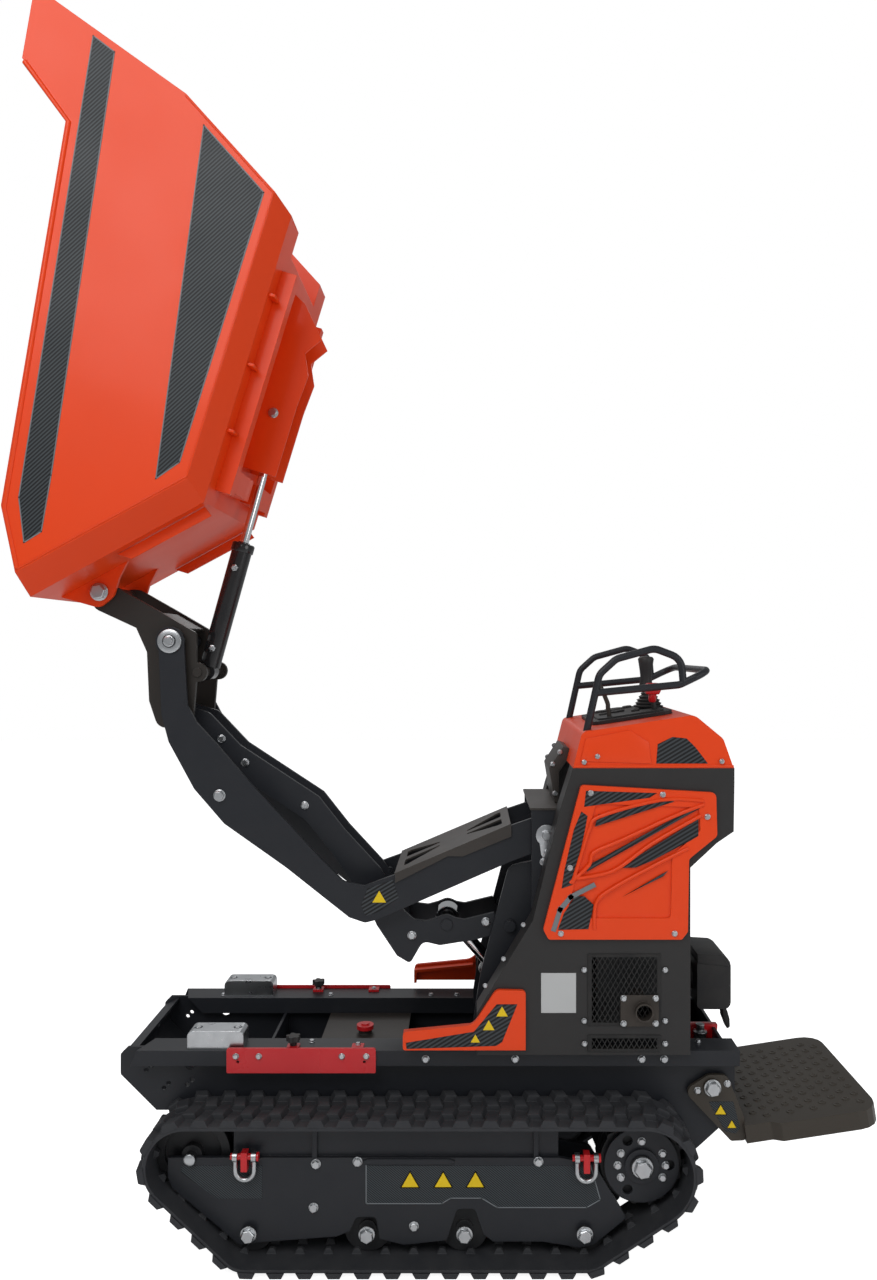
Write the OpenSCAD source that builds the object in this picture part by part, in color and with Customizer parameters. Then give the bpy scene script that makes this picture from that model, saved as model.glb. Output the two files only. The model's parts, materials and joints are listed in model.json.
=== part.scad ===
// Tracked mini dumper with a high-tip skip, in millimetres.
// x runs forward from a datum line, y to the left, z up from the ground.
// The skip is drawn raised and tipped, as the machine stands.

/* [Tracks] */
// Distance of a track's inner edge from the middle plane
track_in = 210; // [190:1:240]
// Width of one track
track_w = 180; // [160:1:200]
// Lugs round one track
lug_n = 43; // [40:1:46]
// Height of a lug above the belt
lug_h = 17; // [12:1:22]
// Thickness of the belt
belt_t = 9; // [7:0.5:12]
// Height of the idler's axle
idler_z = 277.5; // [260:0.5:290]
// Height of the sprocket's axle
sprocket_z = 254.4; // [245:0.1:265]
// Radius of the bottom rollers
roller_r = 62; // [50:1:66]

/* [Chassis] */
// Top of the chassis rails
rail_z = 517; // [505:1:530]
// Inner edge of a rail's top face
rail_in = 157; // [155:1:165]
// Outer edge of a rail's top face
rail_out = 242; // [235:1:250]
// Thickness of the chassis plates
plate_t = 8; // [6:1:10]
// Length of a silver rest block
rest_l = 150; // [90:1:160]

/* [Body] */
// Half width over the body's side plates
body_y = 270; // [262:1:280]
// Thickness of the body's side plates
skin_t = 4; // [3:0.5:6]
// Thickness of the orange side panels
panel_t = 12; // [8:1:18]
// Diameter of the handlebar tube
bar_d = 20; // [16:1:25]
// Half width over the handlebars
bar_y = 245; // [220:1:255]

/* [Arms] */
// Outer face of the arm plates
arm_y = 148; // [144:1:150]
// Thickness of the arm plates
arm_t = 12; // [8:1:14]
// Outer face of the tower plates
tower_y = 181; // [178:1:190]
// Thickness of the tower plates
tower_t = 16; // [12:1:18]
// Diameter of the arm's pivot pins
pin_d = 36; // [30:1:44]
// Outer face of the slim link plates
link_y = 56; // [54:1:58]
// Thickness of the link plates
link_t = 12; // [8:1:12]
// Running clearance round a pin
fit = 0.05; // [0.02:0.01:0.1]

/* [Cylinders] */
// Outside diameter of the tip cylinder
tip_bore_d = 58; // [50:1:62]
// Diameter of the tip cylinder's rod
tip_rod_d = 25; // [20:1:32]
// Outside diameter of the lift cylinder
lift_bore_d = 70; // [60:1:76]
// Diameter of the lift cylinder's rod
lift_rod_d = 36; // [30:1:42]

/* [Skip] */
// Half width over the skip's side panels
skip_y = 360; // [340:1:375]
// Half width of the skip's floor
floor_y = 300; // [280:1:315]
// Thickness of the skip's sheet
sheet_t = 4; // [3:0.5:6]
// Angle by which the skip is tipped from level
tipped = 73; // [70:0.5:76]
// Half width of the recess for the arms
recess_y = 192; // [189:1:200]

/* [Footboard] */
// Half width of the footboard
board_y = 250; // [220:1:270]
// Height of the footboard's rim
board_rim = 48; // [30:1:55]
// Upward tilt of the footboard
board_tilt = 8.6; // [5:0.1:12]

/* [Hidden] */
$fn = 48;

// The model's box is centred on the origin along x by this shift of the datum.
datum_x = -47.28;
// Seating gap of a round face.
seat = 0.3;
// Hair's breadth between two flat faces that touch.
hair = 0.1;
// Slack of the open eyes at the carrier and at the lift rod.
slack = 5.6;

// Pivots of the arm system, as [x, z] in the raised pose.
arm_pivot = [-208, 1079];
link_pivot = [-111, 817];
head_pivot = [827, 1607];
link_eye = [835, 1400];
skip_pivot = [1024, 1743];
tip_foot = [759, 1520];
tip_eye = [555, 2255];
lift_foot = [-285, 425];
lift_eye = [65, 812];

// The track's loop runs round these wheels in turn, seen from the right: [x, z, radius to the lug tips].
idler_x = 718.6;
sprocket_x = -442.6;
track_top = 400.2;
roller_x = [567, 264, 14, -294];
roller_z = belt_t + lug_h + roller_r;
track_wheels = [
    [idler_x, idler_z, track_top - idler_z],
    [sprocket_x, sprocket_z, track_top - sprocket_z],
    [roller_x[3], roller_z, roller_z],
    [roller_x[0], roller_z, roller_z]];
track_t = belt_t + lug_h;
idler_r = track_top - idler_z - track_t - seat;
sprocket_r = track_top - sprocket_z - track_t - seat;

// Length of the vector v.
function len2(v) = sqrt(v[0] * v[0] + v[1] * v[1]);
// Unit vector at the angle a.
function unit(a) = [cos(a), sin(a)];
// Direction from the point a to the point b, in degrees.
function dir(a, b) = atan2(b[1] - a[1], b[0] - a[0]);
// The turn from one direction to the next, between -180 and 180 degrees.
function turn(a, b) = let(d = b - a) d > 180 ? d - 360 : d < -180 ? d + 360 : d;

// A polygon from [x, z, radius] rows, with each corner rounded by its radius in n steps.
function rounded(rows, n = 4) = [
    for (i = [0 : len(rows) - 1])
        let(p = [rows[i][0], rows[i][1]], r = rows[i][2],
            a = rows[(i + len(rows) - 1) % len(rows)], b = rows[(i + 1) % len(rows)],
            da = dir(p, a), t = turn(da, dir(p, b)), s = t > 0 ? 1 : -1)
        each r == 0 ? [p]
            : let(c = p + r / sin(abs(t) / 2) * unit(da + t / 2))
              [for (k = [0 : n]) c + r * unit(da - s * 90 + k / n * (t - s * 180))]];
// Where the line through p along u meets the line through q along v.
function meet(p, u, q, v) = p + u * ((q - p)[0] * v[1] - (q - p)[1] * v[0]) / (u[0] * v[1] - u[1] * v[0]);
// A convex counterclockwise polygon whose edge i is moved inwards by gaps[i].
function inset(pts, gaps) = [
    for (i = [0 : len(pts) - 1])
        let(h = (i + len(pts) - 1) % len(pts), j = (i + 1) % len(pts),
            a0 = dir(pts[h], pts[i]), a1 = dir(pts[i], pts[j]))
        meet(pts[i] + gaps[h] * unit(a0 + 90), unit(a0), pts[i] + gaps[i] * unit(a1 + 90), unit(a1))];
// A strip of the thickness t above the line from a to b.
function strip(a, b, t) = [a, b, b + t * unit(dir(a, b) + 90), a + t * unit(dir(a, b) + 90)];

// A plate in the x-z plane between y0 and y1.
module plate(y0, y1, pts) {
    translate([0, y1, 0]) rotate([90, 0, 0]) linear_extrude(y1 - y0) polygon(pts);
}
// A pin along y through the point p, between y0 and y1.
module pin(p, y0, y1, r) {
    translate([p[0], y1, p[1]]) rotate([90, 0, 0]) cylinder(r = r, h = y1 - y0);
}
// The children and their mirror image in the middle plane.
module both() {
    children();
    mirror([0, 1, 0]) children();
}
// A plate on both sides of the middle plane.
module plates(y0, y1, pts) {
    both() plate(y0, y1, pts);
}
// A flat plate between z0 and z1 with the outline pts in x and y.
module slab(z0, z1, pts) {
    translate([0, 0, z0]) linear_extrude(z1 - z0) polygon(pts);
}
// A block between two corners.
module block(a, b) {
    translate(a) cube(b - a);
}
// A straight round bar from a to b.
module bar(a, b, d) {
    v = b - a;
    translate(a) rotate([0, acos(v[2] / norm(v)), atan2(v[1], v[0])]) cylinder(d = d, h = norm(v));
}
// A unit vector along v.
function along(v) = v / norm(v);
// The corner p of a path from a to b as an arc of the radius r in n steps.
function bend(a, p, b, r, n) =
    let(u = along(a - p), v = along(b - p), h = acos(u * v) / 2, w = 180 - 2 * h,
        c = p + along(u + v) * r / sin(h),
        e = along(p + u * r / tan(h) - c), f = along(p + v * r / tan(h) - c))
    [for (k = [0 : n]) c + r * (sin((1 - k / n) * w) * e + sin(k / n * w) * f) / sin(w)];
// A path whose inner corners are bent to the radius r.
function bent(pts, r, n = 5) = [
    pts[0], for (i = [1 : len(pts) - 2]) each bend(pts[i - 1], pts[i], pts[i + 1], r, n), pts[len(pts) - 1]];
// A round tube of m sides along a path that never runs along ref.
module tube(path, d, ref, m = 16) {
    last = len(path) - 1;
    rings = [for (i = [0 : last])
        let(t = along(path[min(i + 1, last)] - path[max(i - 1, 0)]), u = along(cross(t, ref)), v = cross(t, u))
        each [for (j = [0 : m - 1]) path[i] + d / 2 * (cos(j * 360 / m) * u + sin(j * 360 / m) * v)]];
    sides = [for (i = [0 : last - 1], j = [0 : m - 1])
        let(k = (j + 1) % m, a = i * m + j, b = i * m + k, c = a + m, d = b + m)
        each [[a, c, b], [b, c, d]]];
    polyhedron(rings, concat([[for (j = [0 : m - 1]) j]], sides, [[for (j = [m - 1 : -1 : 0]) last * m + j]]),
        convexity = 6);
}

// The track's loop.
wheel_n = len(track_wheels);
function wheel(i) = track_wheels[(i + wheel_n) % wheel_n];
// Angle of the outward normal where the belt leaves the wheel i.
function leave(i) =
    let(a = wheel(i), b = wheel(i + 1))
    dir(a, b) - 90 + asin((a[2] - b[2]) / len2([b[0] - a[0], b[1] - a[1]]));
// Angle over which the belt lies on the wheel i.
function wrap(i) = (leave(i) - leave(i - 1) + 720) % 360;
// Radius of the belt's outer face on the wheel i.
function belt_r(i) = wheel(i)[2] - lug_h;
// Straight run of belt after the wheel i.
function run(i) =
    let(a = wheel(i), b = wheel(i + 1))
    sqrt(pow(b[0] - a[0], 2) + pow(b[1] - a[1], 2) - pow(a[2] - b[2], 2));
stretches = [for (i = [0 : wheel_n - 1]) each [wrap(i) * PI / 180 * belt_r(i), run(i)]];
function sum_to(v, k) = k == 0 ? 0 : sum_to(v, k - 1) + v[k - 1];
starts = [for (k = [0 : len(stretches)]) sum_to(stretches, k)];
belt_l = starts[len(stretches)];
// The point at the length s along the belt's outer face, moved outwards by off.
function at(s, off) =
    let(s1 = (s % belt_l + belt_l) % belt_l,
        k = max([for (j = [0 : len(stretches) - 1]) if (starts[j] <= s1) j]),
        w = floor(k / 2), d = s1 - starts[k],
        a = k % 2 == 0 ? leave(w - 1) + d / belt_r(w) * 180 / PI : leave(w),
        c = [wheel(w)[0], wheel(w)[1]] + (belt_r(w) + off) * unit(a))
    k % 2 == 0 ? c : c + d * unit(a + 90);
// Outline over the lugs, whose first one is shifted by the share f of a pitch.
lug_pitch = belt_l / lug_n;
lug_root = 0.31 * lug_pitch;
lug_tip = 0.2 * lug_pitch;
function lug_outline(f) = [
    for (i = [0 : lug_n - 1])
        let(s = (i + f) * lug_pitch)
        each [at(s - lug_root, 0), at(s - lug_tip, lug_h), at(s + lug_tip, lug_h), at(s + lug_root, 0)]];
// Inner face of the belt, drawn round outside the wheels.
inner_steps = [8, 8, 3, 3];
function belt_inside() = [
    for (i = [0 : wheel_n - 1])
        for (k = [0 : inner_steps[i] - 1])
            let(step = wrap(i) / inner_steps[i])
            [wheel(i)[0], wheel(i)[1]]
                + (belt_r(i) - belt_t) / cos(step / 2) * unit(leave(i - 1) + (k + 0.5) * step)];

// Rows of lugs across a track: [share of the width where the row ends, shift in pitches].
lug_rows = [[0.21, 0.5], [0.5, 0], [0.79, 0.5], [1, 0]];
module track() {
    color("#26282b")
    difference() {
        for (i = [0 : len(lug_rows) - 1])
            plate(track_in + (i == 0 ? 0 : lug_rows[i - 1][0]) * track_w,
                  track_in + lug_rows[i][0] * track_w, lug_outline(lug_rows[i][1]));
        plate(track_in - 1, track_in + track_w + 1, belt_inside());
    }
}
module track_left() { track(); }
module track_right() { mirror([0, 1, 0]) track(); }

// Side frames: an outer and an inner plate, a box along the top, cross beams to the chassis.
frame_out = 330;
frame_in = 222;
frame_t = 12;
frame_top = 277.5;
box_top = 348;
frame_plate = [
    [-228.8, frame_top, 0], [-318.5, 261.9, 20], [-402.3, 122.8, 10], [-318.5, 54.6, 20], [-281.7, 46.7, 0],
    [-187.4, 62, 0], [-60, 62, 0], [-35, 80, 10], [-12.9, 146.4, 12], [33.4, 146.4, 12],
    [59.4, 65.2, 10], [170.4, 53.9, 0], [232, 68.8, 0], [241.6, 125.3, 12], [293, 125.3, 12],
    [308.5, 89.4, 10], [342, 75.3, 0], [532, 61, 0], [593.8, 53.9, 20], [650.6, 103.8, 0],
    [764.7, 198.8, 20], [776.6, 228, 0], [776.6, frame_top, 0]];
beam_x = [-170, 400];
beam_z = 292;
module track_frames() {
    color("#1c1d20")
    both() difference() {
        union() {
            plate(frame_out - frame_t, frame_out, rounded(frame_plate));
            plate(frame_in, frame_in + frame_t, rounded(frame_plate));
            block([-228, frame_in, frame_top - 10], [610, frame_in + frame_t, box_top]);
            block([-228, frame_in, box_top - frame_t], [610, 318, box_top]);
            block([-228, 306, frame_top - frame_t], [610, 318, box_top]);
            for (x = beam_x) block([x - 40, side_y, beam_z], [x + 40, frame_in + 2, beam_z + 74]);
            for (x = beam_x) block([x - 6, frame_in, 180], [x + 6, frame_out - 2, box_top]);
        }
        for (x = roller_x) pin([x, roller_z], frame_in - 1, frame_out + 1, 8 + fit);
        pin([idler_x, idler_z], frame_in - 1, frame_out + 1, 14 + fit);
    }
}

// Round covers outside the sprockets.
cover_r = sprocket_r - 23;
module frame_covers() {
    color("#202124")
    both() difference() {
        union() {
            pin([sprocket_x, sprocket_z], frame_out - 16, frame_out - 8, cover_r);
            pin([sprocket_x, sprocket_z], frame_out - 8, frame_out, 0.46 * cover_r);
        }
        for (a = [0 : 120 : 240])
            pin([sprocket_x, sprocket_z] + 0.75 * cover_r * unit(a + 60), frame_out - 20, frame_out + 4, 13);
    }
}

// Bottom rollers: two treads, a waist and an axle that ends in a bolt head.
module bogie_wheels() {
    color("#2b2c2e")
    both() for (x = roller_x) {
        pin([x, roller_z], frame_in + 18, frame_in + 42, roller_r - seat);
        pin([x, roller_z], frame_in + 42, frame_out - 44, 0.68 * roller_r);
        pin([x, roller_z], frame_out - 44, frame_out - 20, roller_r - seat);
        pin([x, roller_z], frame_in + frame_t + seat, frame_out - frame_t - seat, 22);
        pin([x, roller_z], frame_in - 6, frame_out + 8, 8);
        pin([x, roller_z], frame_out + seat, frame_out + 14, 17);
    }
}

// Front wheels of the tracks.
module idlers() {
    color("#2b2c2e")
    both() {
        difference() {
            union() {
                pin([idler_x, idler_z], frame_in + 23, frame_in + 44, idler_r);
                pin([idler_x, idler_z], frame_in + 44, frame_out - 46, 0.79 * idler_r);
                pin([idler_x, idler_z], frame_out - 46, frame_out - 25, idler_r);
            }
            pin([idler_x, idler_z], frame_out - 34, frame_out - 20, 0.77 * idler_r);
            pin([idler_x, idler_z], frame_in + 18, frame_in + 32, 0.77 * idler_r);
        }
        pin([idler_x, idler_z], frame_in + frame_t + seat, frame_out - frame_t - seat, 26);
        pin([idler_x, idler_z], frame_in - 4, frame_out + 10, 14);
    }
}

// Driven wheels with teeth, on the motors' shafts.
tooth_n = 9;
module sprockets() {
    color("#232426")
    both() {
        pin([sprocket_x, sprocket_z], frame_in + 14, frame_in + 38, 0.88 * sprocket_r);
        pin([sprocket_x, sprocket_z], frame_out - 46, frame_out - 24, 0.88 * sprocket_r);
        pin([sprocket_x, sprocket_z], side_y, frame_out - 16, 0.52 * sprocket_r);
        for (i = [0 : tooth_n - 1])
            pin([sprocket_x, sprocket_z] + (sprocket_r - 22) * unit(i * 360 / tooth_n),
                frame_in + 14, frame_out - 24, 12);
        pin([sprocket_x, sprocket_z], frame_out, frame_out + 6, 30);
    }
}

// Lashing eyes: a bow on a red pin, hung from a lug on each side frame, at [x, z].
eye_places = [[576, 288], [-298, 284]];
eye_y = 344;
module shackle_bows() {
    color("silver")
    both() for (p = eye_places) translate([p[0], eye_y, p[1]]) {
        difference() {
            union() {
                for (s = [-1, 1]) translate([s * 24 - 6, 0, 0]) rotate([0, 90, 0]) cylinder(r = 13, h = 12);
                for (s = [-1, 1]) translate([s * 24, 0, -36]) cylinder(d = 12, h = 28);
                translate([0, 0, -36]) rotate([90, 0, 0]) intersection() {
                    rotate_extrude() translate([24, 0]) circle(d = 12);
                    translate([-40, -40, -10]) cube([80, 40, 20]);
                }
            }
            translate([-40, 0, 0]) rotate([0, 90, 0]) cylinder(r = 8 + fit, h = 80);
        }
    }
}
module shackle_pins() {
    both() for (p = eye_places) {
        color("#c8101c") translate([p[0] - 36, eye_y, p[1]]) rotate([0, 90, 0]) {
            cylinder(r = 8, h = 72);
            cylinder(r = 11, h = 5.5);
        }
        color("#1c1d20") difference() {
            block([p[0] - 8, frame_out, p[1] - 34], [p[0] + 8, eye_y + 12, p[1] + 14]);
            translate([p[0] - 40, eye_y, p[1]]) rotate([0, 90, 0]) cylinder(r = 8 + fit, h = 80);
        }
    }
}

// Chassis rails: a side plate with a pointed nose, a top flange and an outer lip.
side_y = 200;
side_in = side_y - plate_t;
side_plate = [
    [-715, 511, 0], [-715, 330, 20], [-640, 262, 10], [-560, 190, 40], [-360, 190, 40], [-300, 340, 30],
    [847, 340, 0], [944, 437, 10], [944, 492, 10], [925, 511, 0]];
flange_front = 863;
rail_back = -718;
lip_z = 476;
// Slanted slots in the nose: [x, z].
nose_slots = [[868, 454], [820, 406], [757, 415]];
// Footboard's pivot, its stop and the plate that carries them.
board_pivot = [-649, 410.6];
board_stop = [-631, 294];
module chassis_rails() {
    color("#1c1d20")
    both() difference() {
        union() {
            plate(side_in, side_y, rounded(side_plate));
            slab(rail_z - 6, rail_z, [[rail_back, rail_in], [flange_front, rail_in],
                [flange_front + 24, rail_out], [rail_back, rail_out]]);
            plate(rail_out - 6, rail_out, [[rail_back, lip_z], [flange_front + 40, lip_z],
                [flange_front + 24, rail_z], [rail_back, rail_z]]);
            plate(rail_in, rail_in + 6, [[-560, 470], [820, 470], [flange_front, rail_z], [-560, rail_z]]);
        }
        for (p = nose_slots, s = [-1, 1]) pin(p + s * 9 * unit(135), side_in - 1, side_y + 1, 6);
        pin([757, 462], side_in - 1, side_y + 1, 13);
        pin([board_pivot[0], board_pivot[1]], side_in - 1, side_y + 1, 12 + fit);
    }
}

// Belly pan, two cross walls and the bracket that carries the lift cylinder's foot.
belly_z = 340;
foot_pin_r = 16;
module belly() {
    color("#1c1d20") {
        difference() {
            union() {
                slab(belly_z, belly_z + plate_t, [[-700, -side_in], [840, -side_in], [840, side_in],
                    [-700, side_in]]);
                block([-700, -side_in, belly_z], [-692, side_in, 505]);
                block([560, -side_in, belly_z], [568, side_in, 470]);
                plates(44, 56, rounded([[-325, belly_z, 0], [-245, belly_z, 0], [-255, 455, 28], [-315, 455, 28]]));
            }
            pin(lift_foot, -60, 60, foot_pin_r + fit);
        }
        pin(lift_foot, -58, 58, foot_pin_r);
    }
}

// Curved front plate between the two noses.
nose_bore = 10;
module nose_plate() {
    color("#202124")
    difference() {
        plate(-side_in, side_in, rounded([
            [938, 490, 0], [900, 506, 0], [900, 498, 0], [930, 484, 6], [930, 440, 20], [846, 356, 0],
            [849, 344, 0], [938, 434, 20]]));
        for (y = [-90, 90]) translate([920, y, 462]) rotate([0, 90, 0]) cylinder(r = nose_bore, h = 30);
    }
}

// Silver rests that the lowered skip lies over, at the middle x.
rest_x = 680;
rest_y = [170, 232];
rest_z = 565;
module rest_blocks() {
    color("silver")
    both() difference() {
        plate(rest_y[0], rest_y[1], rounded([
            [rest_x - rest_l / 2, rail_z, 0], [rest_x + rest_l / 2, rail_z, 0],
            [rest_x + rest_l / 2, rest_z, 14], [rest_x - rest_l / 2, rest_z, 14]]));
        for (s = [-1, 1]) translate([rest_x + s * (rest_l / 2 - 22), 201, rest_z - 6])
            cylinder(r = 11, h = 10);
    }
}

// Red lock bars on the rails, with their tabs and the knobs that hold them.
lock_x = [250, 646];
tab_x = [300, 473];
knob_x = 482;
module lock_bars() {
    color("#c8101c")
    both() difference() {
        union() {
            plate(rail_out, rail_out + 7, rounded([
                [lock_x[0], 460, 4], [lock_x[1], 460, 4], [lock_x[1], 526, 6], [lock_x[0], 526, 6]]));
            for (x = tab_x) block([x - 16, 208, rail_z], [x + 16, rail_out + 1, rail_z + 7]);
        }
        for (x = [lock_x[0] + 30, lock_x[1] - 30]) pin([x, 490], rail_out - 1, rail_out + 9, 4);
    }
}
module lock_knobs() {
    color("#202124")
    both() translate([knob_x - 9, 222, rail_z + 7]) {
        cylinder(r = 9, h = 12);
        translate([0, 0, 12]) cylinder(r = 14, h = 14);
        for (a = [0 : 72 : 288]) translate([13 * cos(a), 13 * sin(a), 12]) cylinder(r = 6.5, h = 14);
    }
}

// Oil tank between the rails, with its cover plate, neck and cap.
cap_x = 304;
module oil_tank() {
    color("#202124") {
        block([190, -150, belly_z + plate_t], [415, 150, 466]);
        block([180, -155, 466], [425, 155, 472]);
        translate([cap_x, 0, 472]) cylinder(r = 19, h = 12);
    }
}
module oil_cap() {
    color("#c8101c") {
        translate([cap_x, 0, 484]) cylinder(r = 24.5, h = 12);
        translate([cap_x, 0, 496]) cylinder(r = 12, h = 4);
    }
}

// Fenders beside the tower, open underneath.
fender_out = body_y + 12;
fender_t = 8;
module fenders() {
    color("#e4551b")
    both() {
        plate(body_y, fender_out, rounded([[-146, 534, 0], [176, 534, 6], [176, 582, 12], [-8, 600, 40],
            [-68, 692, 20], [-146, 690, 10]]));
        plate(rail_out, body_y + 1, [[176, 534], [176, 574], [-10, 592], [-10, 592 - fender_t],
            [176 - fender_t, 574 - fender_t], [176 - fender_t, 534]]);
    }
}

// Body shell: the two side plates, the panels in front and the top below the cowl.
body_front = [[-271, 1272], [-237, 1164], [-166, 872], [-18, 628], [-18, rail_z]];
body_side = concat([[-696, 1233], [-694, 1105], [-650, 1075], [-580, 1010], [-580, rail_z]],
    [for (i = [4 : -1 : 0]) body_front[i]], [[-696, 1272]]);
// Openings behind the grilles: [x0, z0, x1, z1].
vents = [[-492, 603, -320, 775], [-492, 534, -320, 562]];
module body_shell() {
    color("#4b4743") {
        difference() {
            plates(body_y - skin_t, body_y, body_side);
            both() for (v = vents) block([v[0], body_y - 10, v[1]], [v[2], body_y + 2, v[3]]);
        }
        both() plate(tower_y + 3, body_y - skin_t, concat(
            [for (i = [0 : 4]) body_front[i]],
            [for (i = [4 : -1 : 0]) body_front[i] - [skin_t, i == 4 ? 0 : skin_t / 2]]));
        plate(skin_t - body_y, body_y - skin_t, [[-696, 1268], [-275, 1268], [-275, 1272], [-696, 1272]]);
        both() block([-580, rail_out - 30, rail_z], [-18, body_y - skin_t, rail_z + skin_t]);
    }
}

// Grilles over the side openings: a frame with upright bars.
grille_bars = 14;
pipe_at = [-455, 636];
pipe_r = 24;
module grilles() {
    color("#101113") difference() {
        both() for (v = vents) grille(v);
        pin(pipe_at, body_y - 1, body_y + 5, pipe_r + 2);
    }
}
module grille(v) {
    union() {
        difference() {
            block([v[0] - 10, body_y, v[1] - 8], [v[2] + 10, body_y + 4, v[3] + 8]);
            block([v[0], body_y - 1, v[1]], [v[2], body_y + 5, v[3]]);
        }
        for (i = [1 : grille_bars - 1])
            let(x = v[0] + i * (v[2] - v[0]) / grille_bars)
            block([x - 2, body_y, v[1] - 1], [x + 2, body_y + 4, v[3] + 1]);
        block([v[0] - 1, body_y, (v[1] + v[3]) / 2 - 2], [v[2] + 1, body_y + 4, (v[1] + v[3]) / 2 + 2]);
    }
}

// Orange side panels with a recess and a rib.
panel_rows = [
    [-291, 1229, 10], [-645, 1209, 14], [-648, 1095, 14], [-574, 1035, 14], [-571, 844, 12],
    [-555, 824, 8], [-206, 824, 8], [-192, 850, 12]];
panel_recess = [
    [-330, 1180, 10], [-600, 1170, 10], [-604, 1110, 10], [-530, 1045, 10], [-526, 880, 10], [-250, 880, 10]];
module side_panels() {
    color("#e4551b")
    both() difference() {
        plate(body_y, body_y + panel_t, rounded(panel_rows));
        plate(body_y + panel_t - 5, body_y + panel_t + 1, rounded(panel_recess));
    }
}

// Cowl: a hollow hood over the controls' end of the body.
cowl_t = 6;
cowl_rows = [
    [-271, 1272, 0], [-295, 1367, 18], [-591, 1412, 30], [-667, 1349, 30], [-692, 1278, 10], [-696, 1272, 0]];
module cowl() {
    color("#e4551b")
    difference() {
        plate(-body_y, body_y, rounded(cowl_rows));
        plate(cowl_t - body_y, body_y - cowl_t, [[-281, 1271], [-303, 1360], [-588, 1404], [-661, 1344],
            [-686, 1271]]);
        both() bar([hoop[0][0], bar_axis, hoop[0][1]], [hoop[1][0], bar_axis, hoop[1][1]], bar_d + 2 * fit);
    }
}

// Control console on the cowl's slope.
cowl_slope = atan2(45, 296);
module console() {
    color("#202124")
    on_cowl(0, 0, hair) {
        translate([30, -150, 0]) linear_extrude(10) offset_rect(225, 300, 24);
        translate([50, -130, 10]) linear_extrude(5) offset_rect(185, 260, 18);
    }
}
console_t = 15 + 2 * hair;
// Places the children on the cowl's slope.
module on_cowl(x, y, z) {
    translate([-591, 0, 1412]) rotate([0, cowl_slope, 0]) translate([x, y, z]) children();
}
// A rectangle from the origin with round corners.
module offset_rect(lx, ly, r) {
    polygon(rounded([[0, 0, r], [lx, 0, r], [lx, ly, r], [0, ly, r]]));
}

// Handlebars: a hoop on each side, a side rail and a cross bar at the back.
hoop = [[-308, 1352], [-345, 1518], [-390, 1559], [-492, 1587], [-563, 1560], [-569, 1490]];
rail_start = [-330, 1468];
rail_end = [-638, 1528];
bar_axis = bar_y - bar_d / 2;
bar_bend = 42;
function mirrored(pts) = [for (i = [len(pts) - 1 : -1 : 0]) [pts[i][0], -pts[i][1], pts[i][2]]];
module handlebars() {
    half_rail = [
        [rail_start[0], bar_axis, rail_start[1]], [-559, bar_axis, 1490], [rail_end[0], bar_axis, rail_end[1]]];
    color("#2a2826") {
        both() tube(bent([for (p = hoop) [p[0], bar_axis, p[1]]], bar_bend), bar_d, [0, 1, 0]);
        tube(bent(concat(half_rail, mirrored(half_rail)), bar_bend), bar_d, [0, 0, 1]);
    }
}

// Joystick with its bellows, and the two levers beside it.
module joystick() {
    color("#18191b")
    on_cowl(72, 0, console_t) {
        for (i = [0 : 3]) translate([0, 0, i * 8]) cylinder(r = 30 - i * 5, h = 8);
        translate([0, 0, 32]) cylinder(r = 6, h = 50);
        translate([0, 0, 76]) cylinder(r = 14, h = 44);
        translate([0, 0, 120]) sphere(r = 21);
    }
}
module control_levers() {
    color("#c8101c") on_cowl(72, 95, console_t) {
        cylinder(r = 5, h = 60);
        translate([0, -14, 60]) rotate([-90, 0, 0]) cylinder(r = 9, h = 28);
    }
    color("silver") on_cowl(200, 95, console_t) {
        bar([0, 0, 0], [0, 0, 38], 9);
        bar([0, 0, 34], [15, 0, 95], 9);
    }
}

// Engine block on the rails, with the air cleaner behind it and the exhaust to the left.
engine_x = [-560, -345];
module engine() {
    color("#2a2b2d") {
        block([engine_x[0], -170, rail_z], [engine_x[1], 170, 800]);
        block([engine_x[0] + 30, -120, 800], [engine_x[1] - 30, 120, 850]);
    }
}
module air_cleaner() {
    color("#1a1b1d") {
        plate(-85, 85, rounded([[-735, 570, 20], [-640, 570, 12], [-640, 722, 12], [-735, 722, 30]]));
        translate([-645, 0, 640]) rotate([0, 90, 0]) cylinder(r = 38, h = 85);
    }
}
module exhaust() {
    color("#55504a") difference() {
        union() {
            pin(pipe_at, 170, body_y + 26, pipe_r);
            block([pipe_at[0] - 40, body_y + 4, pipe_at[1] - 41], [pipe_at[0] + 60, body_y + 8, pipe_at[1] + 41]);
        }
        pin(pipe_at, 200, body_y + 27, pipe_r - 4);
    }
}

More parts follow.
